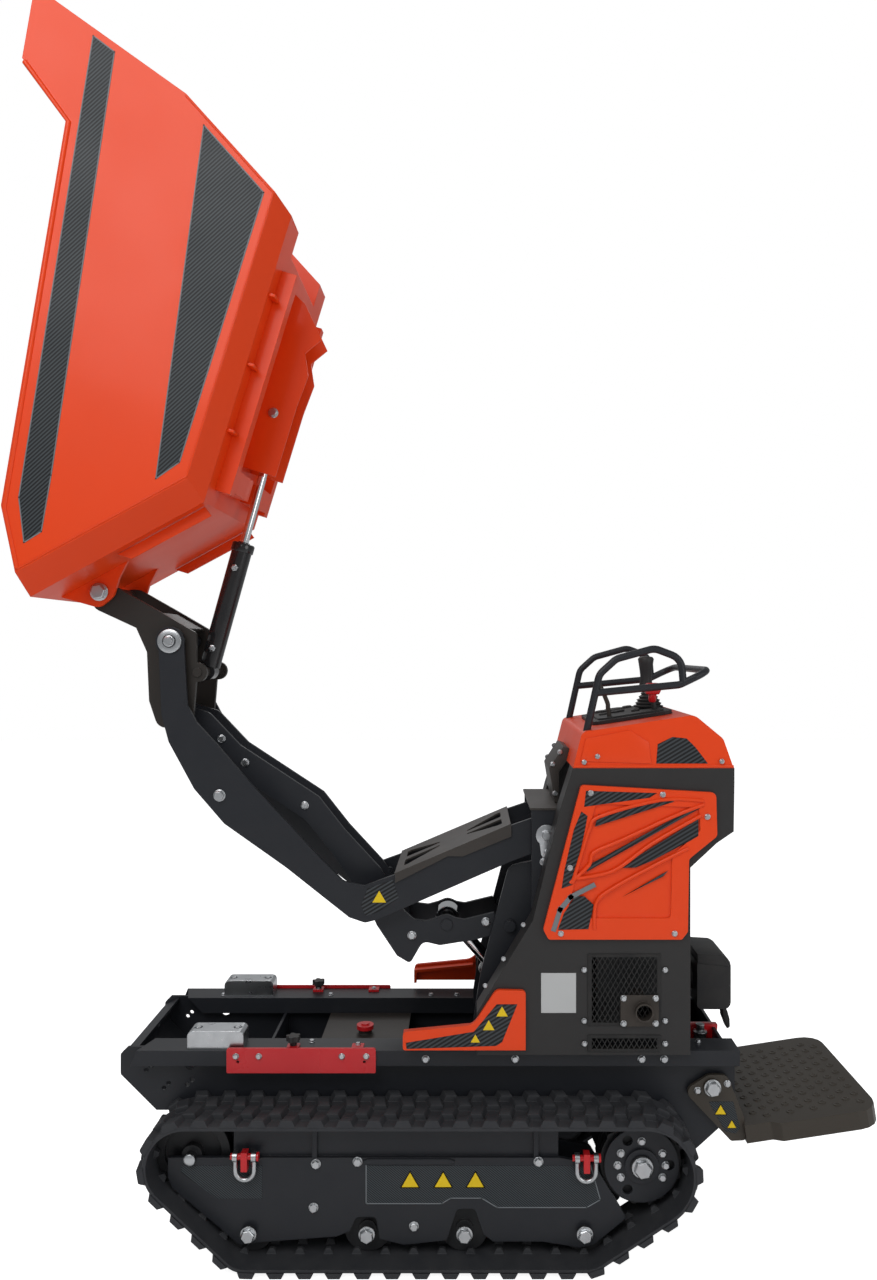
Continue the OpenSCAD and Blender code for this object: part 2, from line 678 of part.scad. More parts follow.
// Tower: outer plates that hold the arms, inner plates that hold the link, a back plate.
tower_x = [-242, -168];
tower_top = 1147;
lower_y = [108, 122];
pin_r = pin_d / 2;
link_pin_r = 16;
module tower() {
    color("#1c1d20")
    difference() {
        union() {
            plates(tower_y - tower_t, tower_y, [[tower_x[0], rail_z], [tower_x[1], rail_z],
                [tower_x[1], tower_top], [tower_x[0], tower_top]]);
            plates(lower_y[0], lower_y[1], rounded([
                [tower_x[0], rail_z + 60, 0], [tower_x[0] + 60, rail_z, 0], [-10, rail_z, 0], [-10, 560, 10],
                [-30, 687, 10], [-108, 982, 30], [-190, 1000, 20], [tower_x[0], 960, 0]]));
            block([tower_x[0], -tower_y + 1, 570], [tower_x[0] + 12, tower_y - 1, 1005]);
            block([tower_x[0] + 60, -rail_in - 2, rail_z], [-60, -lower_y[0], rail_z + 10]);
            block([tower_x[0] + 60, lower_y[0], rail_z], [-60, rail_in + 2, rail_z + 10]);
        }
        pin(arm_pivot, -tower_y - 1, tower_y + 1, pin_r + fit);
        pin(link_pivot, -lower_y[1] - 1, lower_y[1] + 1, link_pin_r + fit);
    }
    color("silver") pin(link_pivot, -lower_y[1] - 12, lower_y[1] + 12, link_pin_r);
}
module tower_cover() {
    color("#4b4743")
    slab(tower_top, tower_top + 6, [[tower_x[0] - 4, -184], [tower_x[1] + 4, -184],
        [tower_x[1] + 4, 184], [tower_x[0] - 4, 184]]);
}

// Arms: two plates on the arm's pivot, a cross tube and the head pin.
cover_a = [-114, 1100];
cover_b = [206, 964];
// Points round the centre c from the angle a0 to a1, as rows with no rounding.
function fan(c, r, a0, a1, n) = [
    for (k = [0 : n]) let(p = c + r * unit(a0 + k / n * (a1 - a0))) [p[0], p[1], 0]];
arm_rows = concat(fan(head_pivot, 40, -40, 195, 10), [
    [779, 1431, 12], [754, 1384, 0], [699, 1324, 0],
    [605, 1216, 0], [506, 1109, 0], [407, 1003, 30], [347, 944, 30], [292, 933, 0], [cover_b[0], cover_b[1], 0],
    [cover_a[0], cover_a[1], 0]], fan(arm_pivot, 50, 70, 285, 10), [
    [-110, 999, 0], [254, 840, 20], [289, 831, 20], [333, 846, 20], [506, 983, 0], [677, 1104, 0],
    [760, 1200, 0], [830, 1329, 0], [850, 1404, 0]]);
tie = [690, 1182];
module arm() {
    color("#1c1d20")
    difference() {
        union() {
            plates(arm_y - arm_t, arm_y, rounded(arm_rows));
            plates(arm_y - 1, tower_y - tower_t - seat, [for (a = [0 : 15 : 345]) arm_pivot + 32 * unit(a)]);
            for (p = [[arm_pivot, 28], [tie, 14]]) pin(p[0], hair + arm_t - arm_y, arm_y - arm_t - hair, p[1]);
        }
        pin(head_pivot, -arm_y - 1, arm_y + 1, pin_r + fit);
        pin(arm_pivot, -tower_y, tower_y, pin_r + fit);
    }
    color("silver") {
        pin(arm_pivot, -tower_y - 2, tower_y + 2, pin_r);
        pin(head_pivot, -arm_y - 10, arm_y + 10, pin_r);
    }
}

// Cross plate over the arms' feet, with skirts outside the arms and four cut-outs.
cover_t = 5;
cover_y = 154;
cover_l = len2(cover_b - cover_a);
module arm_cover() {
    color("#4b4743")
    difference() {
        union() {
            plate(-cover_y, cover_y, strip(cover_a, cover_b, cover_t));
            plates(cover_y - 4, cover_y, rounded([
                [cover_a[0], cover_a[1] - 30, 0], [20, 1015, 10], [60, 1016, 10], [cover_b[0], cover_b[1] - 22, 0],
                [cover_b[0], cover_b[1], 0], [cover_a[0], cover_a[1], 0]]));
        }
        translate([cover_a[0], 0, cover_a[1]]) rotate([0, -dir(cover_a, cover_b), 0])
            for (s = [-1, 1]) translate([0, 0, -2]) {
                linear_extrude(cover_t + 4) polygon(rounded([[24, s * 105, 8], [24, s * 18, 8],
                    [cover_l / 2 - 24, s * 18, 8]]));
                linear_extrude(cover_t + 4) polygon(rounded([[cover_l - 24, s * 105, 8],
                    [cover_l - 24, s * 18, 8], [cover_l / 2 + 24, s * 18, 8]]));
            }
    }
}

// Lower link: slim plates to the carrier, wide plates to the tower, a block where they meet.
wide_y = [85, 97];
link_front = [
    [840, 1434, 10], [742, 1404, 30], [655, 1312, 30], [431, 1165, 20], [356, 1070, 30], [256, 962, 20],
    [183, 849, 20], [168, 703, 10], [205, 725, 0], [262, 811, 20], [392, 1004, 20], [470, 1100, 30],
    [700, 1252, 30], [858, 1368, 20]];
link_rear = [
    [-67, 846, 0], [16, 826, 20], [40, 830, 20], [67, 842, 30], [95, 830, 20], [125, 822, 20], [157, 826, 20],
    [183, 849, 20], [236, 936, 10], [300, 900, 10], [262, 811, 20], [205, 725, 10], [168, 703, 10],
    [132, 765, 20], [84, 754, 20], [35, 762, 20], [-10, 768, 20], [-90, 790, 0]];
module link() {
    color("#1c1d20")
    difference() {
        union() {
            plates(link_y - link_t, link_y, rounded(link_front));
            plates(link_y - link_t, link_y, [for (a = [0 : 15 : 345]) link_eye + 34 * unit(a)]);
            plates(wide_y[0], wide_y[1], rounded(link_rear));
            plates(wide_y[0], wide_y[1], [for (a = [0 : 15 : 345]) link_pivot + 34 * unit(a)]);
            plates(link_y + hair, wide_y[0] + 1, rounded([
                [195, 770, 8], [232, 790, 8], [262, 860, 8], [236, 915, 8], [200, 850, 8]]));
            pin([225, 830], hair + link_t - link_y, link_y - link_t - hair, 16);
        }
        pin(link_pivot, -wide_y[1] - 1, wide_y[1] + 1, link_pin_r + fit);
        pin(lift_eye, -wide_y[1] - 1, wide_y[1] + 1, link_pin_r + fit);
        pin(link_eye, -link_y - 1, link_y + 1, link_pin_r + fit);
    }
    color("silver") {
        pin(lift_eye, -wide_y[1] - 5, wide_y[1] + 5, link_pin_r);
        pin(link_eye, -124, 124, link_pin_r);
    }
}

// Carrier at the arm's head: holds the skip's hinge and the tip cylinder's foot.
carrier_y = [105, 120];
carrier_rows = [
    [762, 1500, 0], [770, 1400, 10], [800, 1366, 30], [868, 1366, 30], [893, 1441, 10], [899, 1577, 0],
    [929, 1644, 0], [1050, 1700, 30], [1052, 1768, 36], [992, 1762, 20], [882, 1700, 0], [762, 1630, 14]];
tip_pin_r = 13;
skip_pin_r = 18;
module carrier() {
    color("#202124")
    difference() {
        union() {
            plates(carrier_y[0], carrier_y[1], rounded(carrier_rows));
            plates(carrier_y[0], carrier_y[1], [for (a = [0 : 15 : 345]) tip_foot + 27 * unit(a)]);
            plate(hair - carrier_y[0], carrier_y[0] - hair, [[882, 1455], [890, 1455], [896, 1577], [886, 1577]]);
            plate(hair - carrier_y[0], carrier_y[0] - hair, strip([876, 1688], [800, 1644], 8));
        }
        pin(head_pivot, -carrier_y[1] - 1, carrier_y[1] + 1, pin_r + fit);
        pin(link_eye, -carrier_y[1] - 1, carrier_y[1] + 1, link_pin_r + slack);
        pin(tip_foot, -carrier_y[1] - 1, carrier_y[1] + 1, tip_pin_r + fit);
        pin(skip_pivot, -carrier_y[1] - 1, carrier_y[1] + 1, skip_pin_r + fit);
    }
    color("silver") {
        pin(tip_foot, -carrier_y[1] - 5, carrier_y[1] + 5, tip_pin_r);
        pin(skip_pivot, -142, 142, skip_pin_r);
    }
}

// A cylinder's barrel on its foot's eye, drawn along z from the foot.
module barrel(d, rod, pin_hole, bore_from, l, eye) {
    difference() {
        union() {
            translate([0, 0, eye * 0.7]) cylinder(d = d, h = l - eye * 0.7);
            translate([0, eye, 0]) rotate([90, 0, 0]) cylinder(r = eye, h = 2 * eye);
        }
        translate([0, eye + 30, 0]) rotate([90, 0, 0]) cylinder(r = pin_hole + fit, h = 2 * eye + 60);
        translate([0, 0, bore_from]) cylinder(r = rod / 2 + seat, h = l);
    }
}
// A rod from its tail to the eye at l.
module rod(d, tail, l, eye, half) {
    translate([0, 0, tail]) cylinder(d = d, h = l - tail - eye * 0.6);
    translate([0, half, l]) rotate([90, 0, 0]) cylinder(r = eye, h = 2 * half);
}
// Places the children at a, with z towards b.
module aim(a, b) {
    translate([a[0], 0, a[1]]) rotate([0, 90 - dir(a, b), 0]) children();
}

lift_l = len2(lift_eye - lift_foot);
lift_travel = 114;
lift_barrel_l = 350;
module lift_barrel() {
    color("#18191b") aim(lift_foot, lift_eye)
        barrel(lift_bore_d, lift_rod_d, foot_pin_r, 60, lift_barrel_l, 32);
}
module lift_rod() {
    color("silver") difference() {
        aim(lift_foot, lift_eye) rod(lift_rod_d, 60 + lift_travel + 12, lift_l, 34, 32);
        pin(lift_eye, -40, 40, link_pin_r + slack);
    }
}

tip_l = len2(tip_eye - tip_foot);
tip_travel = 334;
tip_barrel_l = 385;
module tip_barrel() {
    color("#18191b") aim(tip_foot, tip_eye)
        barrel(tip_bore_d, tip_rod_d, tip_pin_r, 26, tip_barrel_l, 24);
}
module tip_rod() {
    color("silver") aim(tip_foot, tip_eye)
        rod(tip_rod_d, 28 + tip_travel, tip_l, 22, 17);
}

// Skip in its level frame: x forward from the floor's rear corner, z up.
// Its hinge is at hinge_at there.
hinge_at = [1115, 212];
// Where the tip rod's eye lies between its bracket's cheeks.
eye_at = [489, -87];
module level() {
    translate([skip_pivot[0], 0, skip_pivot[1]]) rotate([0, tipped, 0])
        translate([-hinge_at[0], 0, -hinge_at[1]]) children();
}
// Section of the side panels, then of the floor, whose rear walls lie in one plane.
// Their front edges are parallel, so that the chamfer between them stays one flat sheet.
wide_rows = [[0, 0], [761, 0], [1118, 349.2], [966, 433], [-20, 562], [-172, 288]];
floor_rows = [[24, -40], [803, -40], [1171, 320], [966, 433], [-20, 562], [-172, 288]];
mouth_cut = -300;
module skip_hull(t, cut) {
    hull() {
        plate(-skip_y + t, skip_y - t, inset(wide_rows, [t / 2, t / 2, cut, cut, t, t]));
        plate(-floor_y + t / 2, floor_y - t / 2, inset(floor_rows, [t, t, cut, cut, t, t]));
    }
}
module arm_recess(y, dx) {
    plate(-y, y, [[95 + dx, -60], [95 + dx, -40], [-60 + dx, 300], [-115 + dx, 410], [-300, 410], [-300, -60]]);
}
module skip() {
    color("#e4551b")
    level() {
        difference() {
            skip_hull(0, 0);
            arm_recess(recess_y, 0);
            difference() {
                skip_hull(sheet_t, mouth_cut);
                arm_recess(recess_y + sheet_t, sheet_t * 1.1);
            }
        }
        plate(-skip_y, skip_y, strip([-17, 556], [-137, 714], sheet_t));
        plates(skip_y - sheet_t, skip_y, [[-172, 288], [-20, 562], [-137, 714], [-322, 737]]);
        plates(330, skip_y, strip([-172, 288], [-322, 737], -sheet_t));
        plates(330, skip_y, strip([-322, 737], [-137, 714], -sheet_t));
    }
}

// Frame under the skip's floor, its hinge ears and the tip rod's bracket.
function front_wall(x) = -40 + (x - 803) * 360 / 368;
rail_deep = 42;
// Inner end of the cross bars, beside the tip cylinder.
cross_in = 40;
module skip_frame() {
    color("#e4551b")
    level() difference() {
        union() {
            both() block([150, 200, -40 - rail_deep], [760, 240, -40]);
            both() block([690, cross_in, -40 - rail_deep], [750, 201, -40]);
            plates(18.5, 31, rounded([[418, -40, 0], [464, -114, 24], [514, -114, 24], [522, -40, 0]]));
            plates(125, 137, rounded([[1010, front_wall(1010), 0], [1060, 172, 0], [1115, 172, 30],
                [1158, 200, 30], [1160, front_wall(1160), 0]]));
        }
        pin(hinge_at, -140, 140, skip_pin_r + fit);
    }
    color("silver") level() both() pin(eye_at, 31, 39, 14);
}

// Footboard: a tread plate with a skirt, on two arms from its pivot.
board_front = -742;
board_back = -1098;
board_top = 315;
board_w0 = 234;
module footboard() {
    color("#262220") {
        translate([board_front, 0, board_top]) rotate([0, board_tilt, 0]) difference() {
            translate([0, 0, -board_rim]) linear_extrude(board_rim) polygon(rounded([
                [10, -board_w0, 0], [10, board_w0, 0], [-60, board_w0, 10], [-84, board_y, 10],
                [-352, board_y, 60], [-352, -board_y, 60], [-84, -board_y, 10], [-60, -board_w0, 10]]));
            translate([0, 0, -board_rim - 1]) linear_extrude(board_rim - 3) polygon(rounded([
                [5, -board_w0 + 5, 0], [5, board_w0 - 5, 0], [-62, board_w0 - 5, 8], [-87, board_y - 5, 8],
                [-347, board_y - 5, 55], [-347, -board_y + 5, 55], [-87, -board_y + 5, 8],
                [-62, -board_w0 + 5, 8]]));
        }
        both() difference() {
            plate(208, 220, rounded([[-742, 268, 10], [-700, 266, 10], [-573, 400, 20], [-640, 443, 24],
                [-690, 443, 24], [-735, 330, 10]]));
            pin(board_pivot, 200, 240, 12 + fit);
        }
        both() pin(board_pivot, 185, 226, 12);
    }
}

translate([datum_x, 0, 0]) track_left();
translate([datum_x, 0, 0]) track_right();
translate([datum_x, 0, 0]) track_frames();
translate([datum_x, 0, 0]) frame_covers();
translate([datum_x, 0, 0]) bogie_wheels();
translate([datum_x, 0, 0]) idlers();
translate([datum_x, 0, 0]) sprockets();
translate([datum_x, 0, 0]) shackle_bows();
translate([datum_x, 0, 0]) shackle_pins();
translate([datum_x, 0, 0]) chassis_rails();
translate([datum_x, 0, 0]) belly();
translate([datum_x, 0, 0]) nose_plate();
translate([datum_x, 0, 0]) rest_blocks();
translate([datum_x, 0, 0]) lock_bars();
translate([datum_x, 0, 0]) lock_knobs();
translate([datum_x, 0, 0]) oil_tank();
translate([datum_x, 0, 0]) oil_cap();
translate([datum_x, 0, 0]) fenders();
translate([datum_x, 0, 0]) body_shell();
translate([datum_x, 0, 0]) grilles();
translate([datum_x, 0, 0]) side_panels();
translate([datum_x, 0, 0]) cowl();
translate([datum_x, 0, 0]) console();
translate([datum_x, 0, 0]) handlebars();
translate([datum_x, 0, 0]) joystick();
translate([datum_x, 0, 0]) control_levers();
translate([datum_x, 0, 0]) engine();
translate([datum_x, 0, 0]) air_cleaner();
translate([datum_x, 0, 0]) exhaust();
translate([datum_x, 0, 0]) tower();
translate([datum_x, 0, 0]) tower_cover();
translate([datum_x, 0, 0]) arm();
translate([datum_x, 0, 0]) arm_cover();
translate([datum_x, 0, 0]) link();
translate([datum_x, 0, 0]) carrier();
translate([datum_x, 0, 0]) lift_barrel();
translate([datum_x, 0, 0]) lift_rod();
translate([datum_x, 0, 0]) tip_barrel();
translate([datum_x, 0, 0]) tip_rod();
translate([datum_x, 0, 0]) skip();
translate([datum_x, 0, 0]) skip_frame();
translate([datum_x, 0, 0]) footboard();
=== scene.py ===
"""Looks of a tracked mini dumper with a raised, tipped skip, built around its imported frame."""
from __future__ import annotations

import json
import logging
import math
from dataclasses import dataclass
from enum import Enum
from typing import Callable, Iterable, Sequence

import bmesh
import bpy
from mathutils import Matrix, Vector

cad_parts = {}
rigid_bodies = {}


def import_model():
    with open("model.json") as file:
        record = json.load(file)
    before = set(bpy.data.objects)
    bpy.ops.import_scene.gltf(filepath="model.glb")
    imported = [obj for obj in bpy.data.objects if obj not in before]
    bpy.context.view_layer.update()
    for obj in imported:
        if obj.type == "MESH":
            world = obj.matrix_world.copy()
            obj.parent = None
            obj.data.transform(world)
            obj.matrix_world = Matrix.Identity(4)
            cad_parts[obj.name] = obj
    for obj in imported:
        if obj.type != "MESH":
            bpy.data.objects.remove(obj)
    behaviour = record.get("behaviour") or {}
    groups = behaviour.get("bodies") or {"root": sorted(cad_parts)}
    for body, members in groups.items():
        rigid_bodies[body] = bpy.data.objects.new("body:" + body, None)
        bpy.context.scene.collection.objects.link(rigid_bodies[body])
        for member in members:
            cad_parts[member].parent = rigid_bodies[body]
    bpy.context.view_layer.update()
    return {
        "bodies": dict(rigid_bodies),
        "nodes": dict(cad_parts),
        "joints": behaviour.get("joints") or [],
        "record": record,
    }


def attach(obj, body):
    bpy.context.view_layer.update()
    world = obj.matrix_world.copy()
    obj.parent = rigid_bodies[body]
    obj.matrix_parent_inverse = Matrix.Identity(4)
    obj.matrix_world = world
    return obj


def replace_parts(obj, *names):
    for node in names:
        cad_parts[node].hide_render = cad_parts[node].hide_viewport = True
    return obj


LOG = logging.getLogger("dumper")
Point2 = tuple[float, float]
Point3 = tuple[float, float, float]
Mesh = bmesh.types.BMesh
Socket = bpy.types.NodeSocket
Spot = Callable[[float, float, float], Vector]
MM = 0.001
DATUM_X = -47.28
NUMBER, VECTOR = "NodeSocketFloat", "NodeSocketVector"
SOFT_EDGE = 0.0022
WEAR_GAIN = 5.0
DUST_CONTRAST, DUST_CUT, DUST_ROUGHNESS = 2.2, 0.6, 0.5
STRIPE_SHARPNESS, STRIPE_SHIFT = 3.0, 0.3
ROUGHNESS_SPREAD, COAT_ROUGHNESS, BUMP_STRENGTH = 0.25, 0.12, 0.6
# The Mix node's colour sockets by number, because its names repeat for each data type.
MIX_FACTOR, MIX_FIRST, MIX_SECOND, MIX_COLOUR = 0, 6, 7, 2


def place(x: float, y: float, z: float) -> Vector:
    """Turns a place in millimetres from the machine's datum into the frame's metres.

    Args:
        x: distance forward of the datum line.
        y: distance to the left of the middle plane.
        z: height above the ground.

    Returns:
        The point in metres.
    """
    return Vector(((x + DATUM_X) * MM, y * MM, z * MM))


def unit(angle: float) -> Point2:
    """Gives the unit vector at an angle in degrees."""
    return math.cos(math.radians(angle)), math.sin(math.radians(angle))


class Side(Enum):
    """The two sides of the machine."""

    LEFT = 1
    RIGHT = -1


BOTH = (Side.LEFT, Side.RIGHT)


class Axis(Enum):
    """Directions that a round piece or a bolt head can point in."""

    LEFT = (0.0, 1.0, 0.0)
    RIGHT = (0.0, -1.0, 0.0)
    UP = (0.0, 0.0, 1.0)


def outward(side: Side) -> Axis:
    """Gives the direction away from the middle plane on a side."""
    return Axis.LEFT if side is Side.LEFT else Axis.RIGHT


class Nodes:
    """A thin hand for wiring shader nodes."""

    def __init__(self, tree: bpy.types.NodeTree) -> None:
        """Keeps the tree that nodes are added to."""
        self.tree = tree

    def add(self, kind: str, **values: object) -> bpy.types.Node:
        """Adds a node and sets its properties.

        Args:
            kind: Blender's name of the node type.
            values: properties to set on it.

        Returns:
            The new node.
        """
        node = self.tree.nodes.new(kind)
        for name, value in values.items():
            setattr(node, name, value)
        return node

    def link(self, out: Socket, into: Socket) -> None:
        """Joins an output to an input."""
        self.tree.links.new(out, into)

    def math(self, operation: str, first: object, second: object = 0.0, clamp: bool = False) -> Socket:
        """Adds a math node on two numbers or sockets.

        Args:
            operation: the sum to work out.
            first: a number or an output.
            second: a number or an output.
            clamp: keeps the result between 0 and 1.

        Returns:
            The result's socket.
        """
        node = self.add("ShaderNodeMath", operation=operation, use_clamp=clamp)
        for slot, value in zip(node.inputs, (first, second)):
            if isinstance(value, Socket):
                self.link(value, slot)
            else:
                slot.default_value = value
        return node.outputs[0]

    def mix(self, factor: object, first: object, second: object) -> Socket:
        """Mixes two colours by a factor.

        Args:
            factor: a number or an output.
            first: the colour at 0.
            second: the colour at 1.

        Returns:
            The mixed colour's socket.
        """
        node = self.add("ShaderNodeMix", data_type="RGBA")
        for slot, value in ((MIX_FACTOR, factor), (MIX_FIRST, first), (MIX_SECOND, second)):
            if isinstance(value, Socket):
                self.link(value, node.inputs[slot])
            elif slot == MIX_FACTOR:
                node.inputs[slot].default_value = value
            else:
                node.inputs[slot].default_value = (*value, 1.0)
        return node.outputs[MIX_COLOUR]

    def noise(self, scale: Socket, detail: float = 2.0) -> Socket:
        """Adds noise over the object's own coordinates.

        Args:
            scale: the output that sets its scale.
            detail: how many finer layers it has.

        Returns:
            Its value's socket.
        """
        coord = self.add("ShaderNodeTexCoord")
        node = self.add("ShaderNodeTexNoise")
        node.inputs["Detail"].default_value = detail
        self.link(coord.outputs["Object"], node.inputs["Vector"])
        self.link(scale, node.inputs["Scale"])
        return node.outputs[0]


class Effect(Enum):
    """Shared surface effects, each one node group."""

    GRAIN = "fine_grain"
    WEAR = "edge_wear"
    DUST = "settled_dust"
    STRIPES = "diagonal_stripes"


def group_with(name: str, inputs: dict[str, float],
               outputs: dict[str, str]) -> tuple[Nodes, dict[str, Socket], bpy.types.Node]:
    """Starts a shader node group with named sockets.

    Args:
        name: the group's name.
        inputs: name and default of each number that goes in.
        outputs: name and socket type of each value that comes out.

    Returns:
        The hand for its nodes, its inputs by name and its output node.
    """
    tree = bpy.data.node_groups.new(name, "ShaderNodeTree")
    for label, default in inputs.items():
        socket = tree.interface.new_socket(label, in_out="INPUT", socket_type=NUMBER)
        socket.default_value = default
    for label, kind in outputs.items():
        tree.interface.new_socket(label, in_out="OUTPUT", socket_type=kind)
    hand = Nodes(tree)
    start = hand.add("NodeGroupInput")
    return hand, {label: start.outputs[label] for label in inputs}, hand.add("NodeGroupOutput")


def build_grain() -> None:
    """Builds the fine grain of paint, rubber and castings."""
    hand, ins, out = group_with(
        Effect.GRAIN.value, {"Scale": 400.0, "Patch Scale": 6.0}, {"Height": NUMBER, "Patch": NUMBER})
    hand.link(hand.noise(ins["Scale"], detail=3.0), out.inputs["Height"])
    hand.link(hand.noise(ins["Patch Scale"], detail=4.0), out.inputs["Patch"])


def build_wear() -> None:
    """Builds the softened edge and the mask of the wear along it."""
    hand, ins, out = group_with(
        Effect.WEAR.value, {"Amount": 1.0, "Breakup": 60.0}, {"Edge": NUMBER, "Normal": VECTOR})
    soft = hand.add("ShaderNodeBevel", samples=4)
    soft.inputs["Radius"].default_value = SOFT_EDGE
    geometry = hand.add("ShaderNodeNewGeometry")
    dot = hand.add("ShaderNodeVectorMath", operation="DOT_PRODUCT")
    hand.link(soft.outputs[0], dot.inputs[0])
    hand.link(geometry.outputs["Normal"], dot.inputs[1])
    turn = hand.math("SUBTRACT", 1.0, dot.outputs["Value"], clamp=True)
    bent = hand.math("MULTIPLY", turn, WEAR_GAIN, clamp=True)
    rough = hand.math("MULTIPLY", bent, hand.noise(ins["Breakup"]))
    hand.link(hand.math("MULTIPLY", rough, ins["Amount"], clamp=True), out.inputs["Edge"])
    hand.link(soft.outputs[0], out.inputs["Normal"])


def build_dust() -> None:
    """Builds the patches of dust that settle on upward faces."""
    hand, ins, out = group_with(
        Effect.DUST.value, {"Amount": 0.3, "Scale": 14.0}, {"Mask": NUMBER})
    geometry = hand.add("ShaderNodeNewGeometry")
    split = hand.add("ShaderNodeSeparateXYZ")
    hand.link(geometry.outputs["Normal"], split.inputs[0])
    contrast = hand.math("MULTIPLY", hand.noise(ins["Scale"], detail=6.0), DUST_CONTRAST)
    up = hand.math("ADD", hand.math("MULTIPLY", split.outputs["Z"], 0.5), 0.5, clamp=True)
    settled = hand.math("MULTIPLY", up, hand.math("SUBTRACT", contrast, DUST_CUT, clamp=True))
    hand.link(hand.math("MULTIPLY", settled, ins["Amount"], clamp=True), out.inputs["Mask"])


def build_stripes() -> None:
    """Builds the fine diagonal stripes of the dark decals."""
    hand, ins, out = group_with(
        Effect.STRIPES.value, {"Pitch": 0.011, "Slope": 0.6}, {"Mask": NUMBER})
    coord = hand.add("ShaderNodeTexCoord")
    split = hand.add("ShaderNodeSeparateXYZ")
    hand.link(coord.outputs["Object"], split.inputs[0])
    lean = hand.math("ADD", split.outputs["Z"], hand.math("MULTIPLY", split.outputs["X"], ins["Slope"]))
    turns = hand.math("MULTIPLY", hand.math("DIVIDE", lean, ins["Pitch"]), math.tau)
    wave = hand.math("SINE", turns)
    sharp = hand.math("MULTIPLY", wave, STRIPE_SHARPNESS)
    hand.link(hand.math("ADD", sharp, STRIPE_SHIFT, clamp=True), out.inputs["Mask"])


def build_effects() -> None:
    """Builds every shared effect once."""
    build_grain()
    build_wear()
    build_dust()
    build_stripes()


@dataclass(frozen=True)
class Finish:
    """One finish of the machine's surfaces.

    The colours are linear, the bump is in metres and the shares lie between 0 and 1.
    """

    name: str
    slot: str
    colour: Point3
    roughness: float
    second: Point3 | None = None
    metallic: float = 0.0
    coat: float = 0.0
    grain_scale: float = 500.0
    grain_height: float = 0.00004
    patch_scale: float = 5.0
    patch_share: float = 0.35
    worn: Point3 = (0.3, 0.3, 0.32)
    wear: float = 0.15
    dust: float = 0.12
    dust_colour: Point3 = (0.32, 0.29, 0.25)
    specular: float = 0.3
    stripes: bool = False
    stripe_pitch: float = 0.011
    stripe_slope: float = 0.6

    def material(self) -> bpy.types.Material:
        """Gives the finish's material, built at its first use."""
        made = bpy.data.materials.get(self.name)
        return made if made else self._build()

    def _group(self, hand: Nodes, effect: Effect, **values: float) -> bpy.types.Node:
        """Places a shared effect with this finish's own values.

        Args:
            hand: the hand for the material's nodes.
            effect: which group to place.
            values: its inputs by name, with spaces written as underscores.

        Returns:
            The group node.
        """
        node = hand.add("ShaderNodeGroup", node_tree=bpy.data.node_groups[effect.value])
        for label, value in values.items():
            node.inputs[label.replace("_", " ")].default_value = value
        return node

    def _build(self) -> bpy.types.Material:
        """Wires the finish's colour, roughness and bump to one Principled shader.

        Returns:
            The new material.
        """
        material = bpy.data.materials.new(self.name)
        material.use_nodes = True
        hand = Nodes(material.node_tree)
        shader = material.node_tree.nodes["Principled BSDF"]
        grain = self._group(hand, Effect.GRAIN, Scale=self.grain_scale, Patch_Scale=self.patch_scale)
        wear = self._group(hand, Effect.WEAR, Amount=self.wear)
        dust = self._group(hand, Effect.DUST, Amount=self.dust)
        shade = tuple(channel * (1.0 - self.patch_share * 0.5) for channel in self.colour)
        base = hand.mix(grain.outputs["Patch"], self.colour, self.second or shade)
        if self.stripes:
            lines = self._group(hand, Effect.STRIPES, Pitch=self.stripe_pitch, Slope=self.stripe_slope)
            base = hand.mix(lines.outputs["Mask"], self.colour, self.second or shade)
        base = hand.mix(wear.outputs["Edge"], base, self.worn)
        base = hand.mix(dust.outputs["Mask"], base, self.dust_colour)
        hand.link(base, shader.inputs["Base Color"])
        patch = hand.math("SUBTRACT", grain.outputs["Patch"], 0.5)
        spread = hand.math("MULTIPLY", patch, ROUGHNESS_SPREAD)
        rough = hand.math("ADD", hand.math("ADD", spread, self.roughness),
                          hand.math("MULTIPLY", dust.outputs["Mask"], DUST_ROUGHNESS), clamp=True)
        hand.link(rough, shader.inputs["Roughness"])
        shader.inputs["Metallic"].default_value = self.metallic
        shader.inputs["Specular IOR Level"].default_value = self.specular
        shader.inputs["Coat Weight"].default_value = self.coat
        shader.inputs["Coat Roughness"].default_value = COAT_ROUGHNESS
        bump = hand.add("ShaderNodeBump")
        bump.inputs["Strength"].default_value = BUMP_STRENGTH
        bump.inputs["Distance"].default_value = self.grain_height
        hand.link(grain.outputs["Height"], bump.inputs["Height"])
        hand.link(wear.outputs["Normal"], bump.inputs["Normal"])
        hand.link(bump.outputs[0], shader.inputs["Normal"])
        return material


SOOT = (0.12, 0.11, 0.1)
SMOOTH = 0.00001
ORANGE = Finish("orange_gloss", "orange_paint", (0.84, 0.056, 0.002), 0.4, coat=0.12, patch_share=0.1,
                grain_scale=160.0, grain_height=0.00006, worn=(0.95, 0.16, 0.03), wear=0.3, dust=0.02)
BLACK = Finish("black_powder", "frame_black", (0.019, 0.021, 0.026), 0.38, grain_scale=900.0,
               worn=(0.08, 0.08, 0.09), wear=0.3, dust=0.06, dust_colour=SOOT)
CHARCOAL = Finish("charcoal_powder", "taupe_paint", (0.03, 0.029, 0.029), 0.42, grain_scale=900.0,
                  worn=SOOT, wear=0.3, dust=0.05, dust_colour=SOOT)
WHEEL = Finish("wheel_paint", "wheel_black", (0.018, 0.019, 0.021), 0.45, worn=(0.1, 0.1, 0.1), wear=0.4,
               dust=0.12, dust_colour=SOOT)
BROWN_BLACK = Finish("brown_black", "carrier_black", (0.03, 0.026, 0.023), 0.4, grain_scale=800.0,
                     worn=(0.1, 0.09, 0.08), wear=0.3, dust=0.08, dust_colour=(0.12, 0.1, 0.08))
